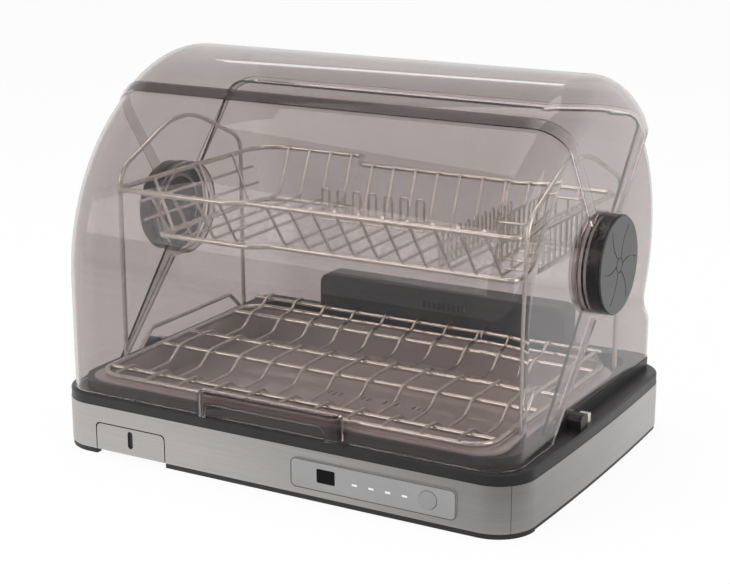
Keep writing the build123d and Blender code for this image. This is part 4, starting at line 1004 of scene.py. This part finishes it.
wire_piece("upper_basket_wires", basket_runs,
           ["upper_basket", "basket_wires", "basket_side_wires", "plate_combs"])

# Cutlery cage: two rings of thin wire with upright staves between them and three floor wires. It stands on
# the basket's floor at its right end.
cage_wire, cage_bend, cage_weld = 2.4, 8.0, 1.25
cage_left, cage_right, cage_front, cage_back = 152.0, 190.0, -52.0, 62.0
cage_low, cage_top = 196.9, 237.0
stave_places = [(x, -44.0 + 12.0 * n) for n in range(9) for x in (cage_left, cage_right)]
stave_places += [(x, y) for x in (160.0, 172.0) for y in (cage_front, cage_back)]
cage_runs = [(cage_wire, True, cage_bend, [(cage_left, cage_front, z), (cage_right, cage_front, z),
                                           (cage_right, cage_back, z), (cage_left, cage_back, z)])
             for z in (cage_low, cage_top)]
cage_runs += [straight_wire(cage_wire, (x, y, cage_low + cage_weld), (x, y, cage_top - cage_weld))
              for x, y in stave_places]
for number in range(3):
    y = cage_front + (number + 1) * (cage_back - cage_front) / 4
    cage_runs.append(straight_wire(cage_wire, (cage_left + cage_weld, y, cage_low),
                                   (cage_right - cage_weld, y, cage_low)))
wire_piece("cutlery_cage_wires", cage_runs, ["cutlery_cage", "cage_staves"])

# Table and light: a plain white table that keeps the soft shadow, an even white surround, three soft lamps
# and a thin strip whose mirror image lies along the dome.
mirrored_room = (0.85, 0.15)
table_glow, surround_light = 0.94, 0.55
table = placed("table", plain_mesh("table", [(-6, -6, 0), (6, -6, 0), (6, 6, 0), (-6, 6, 0)], [(0, 1, 2, 3)]))
table_white, tree, shader = new_finish("table_white")
preset(shader, {"Roughness": 0.6, "Specular IOR Level": 0.1})
speck = grain(tree, (40, 40, 40), 2, "speck")
tree.links.new(tone(tree, speck, (0.90, 0.90, 0.90), (0.92, 0.92, 0.92)), shader.inputs["Base Color"])
glow = preset(tree.nodes.new("ShaderNodeEmission"), {"Color": (1, 1, 1, 1)})


def seen_rays(tree, place, towards, near, far):
    """Brightness for rays from the camera, mirrors and clear plastic, zero for light: white, but mirrors meet
    a room that darkens towards one side, between a near and a far distance."""
    path = tree.nodes.new("ShaderNodeLightPath")
    along = tree.nodes.new("ShaderNodeVectorMath")
    along.operation = "DOT_PRODUCT"
    along.inputs[1].default_value = towards
    tree.links.new(place, along.inputs[0])
    room = ranged(tree, along.outputs["Value"], (near, far), mirrored_room)
    total = maths(tree, "MULTIPLY", room, path.outputs["Is Glossy Ray"])
    for kind in ("Is Camera Ray", "Is Transmission Ray"):
        total = maths(tree, "MAXIMUM", total, path.outputs[kind])
    return total


spot = tree.nodes.new("ShaderNodeTexCoord")
seen = seen_rays(tree, spot.outputs["Object"], (0.70, -0.71, 0), near=0.05, far=0.45)
tree.links.new(seen, glow.inputs["Strength"])
glow_share = maths(tree, "MULTIPLY", maths(tree, "GREATER_THAN", seen, 0.01), table_glow)
mixed_surface(tree, glow_share, shader.outputs["BSDF"], glow.outputs["Emission"])
table.data.materials.append(table_white)

world = bpy.data.worlds.new("white_surround")
bpy.context.scene.world = world
world.use_nodes = True
tree = world.node_tree
backdrop = preset(tree.nodes["Background"], {"Color": (1, 1, 1, 1)})
compass = tree.nodes.new("ShaderNodeTexCoord")
around = seen_rays(tree, compass.outputs["Generated"], (0.25, -0.55, 0.80), near=-0.1, far=0.6)
tree.links.new(maths(tree, "MAXIMUM", around, surround_light), backdrop.inputs["Strength"])


def soft_lamp(name, place, aim, size, power, mirrored):
    """Lamp with a soft face, turned to a point; only a mirrored one shows in glossy pieces."""
    lamp = bpy.data.lights.new(name, "AREA")
    lamp.shape = "RECTANGLE"
    lamp.size, lamp.size_y = size
    lamp.energy = power
    holder = placed(name, lamp)
    holder.location = place
    holder.visible_glossy = mirrored
    holder.rotation_euler = (Vector(aim) - Vector(place)).to_track_quat("-Z", "Y").to_euler()


soft_lamp("top_lamp", (-0.3, 0.2, 1.9), aim=(0, 0, 0.1), size=(1.6, 0.9), power=16, mirrored=False)
soft_lamp("strip_lamp", (-1.3, 2.0, 1.9), aim=(0, 0, 0.3), size=(1.0, 0.12), power=0.8, mirrored=True)
soft_lamp("front_lamp", (-0.9, -1.8, 1.1), aim=(0, 0, 0.15), size=(1.2, 1.2), power=18, mirrored=False)
soft_lamp("side_lamp", (1.9, -0.3, 0.9), aim=(0, 0, 0.15), size=(1.0, 1.4), power=14, mirrored=False)

# Camera at the photographed angle: a long lens in front of the part, to its right and a little above it.
camera_place, camera_aim = Vector((0.7681, -1.3549, 0.5788)), Vector((-0.00245, 0, 0.13986))
camera_data = bpy.data.cameras.new("camera")
camera_data.lens = 85.195
camera_data.sensor_width = 36
camera_data.clip_start = 0.05
camera = placed("camera", camera_data)
camera.location = camera_place
camera.rotation_euler = (camera_aim - camera_place).to_track_quat("-Z", "Y").to_euler()
bpy.context.scene.camera = camera
bpy.context.scene.view_settings.view_transform = "Standard"
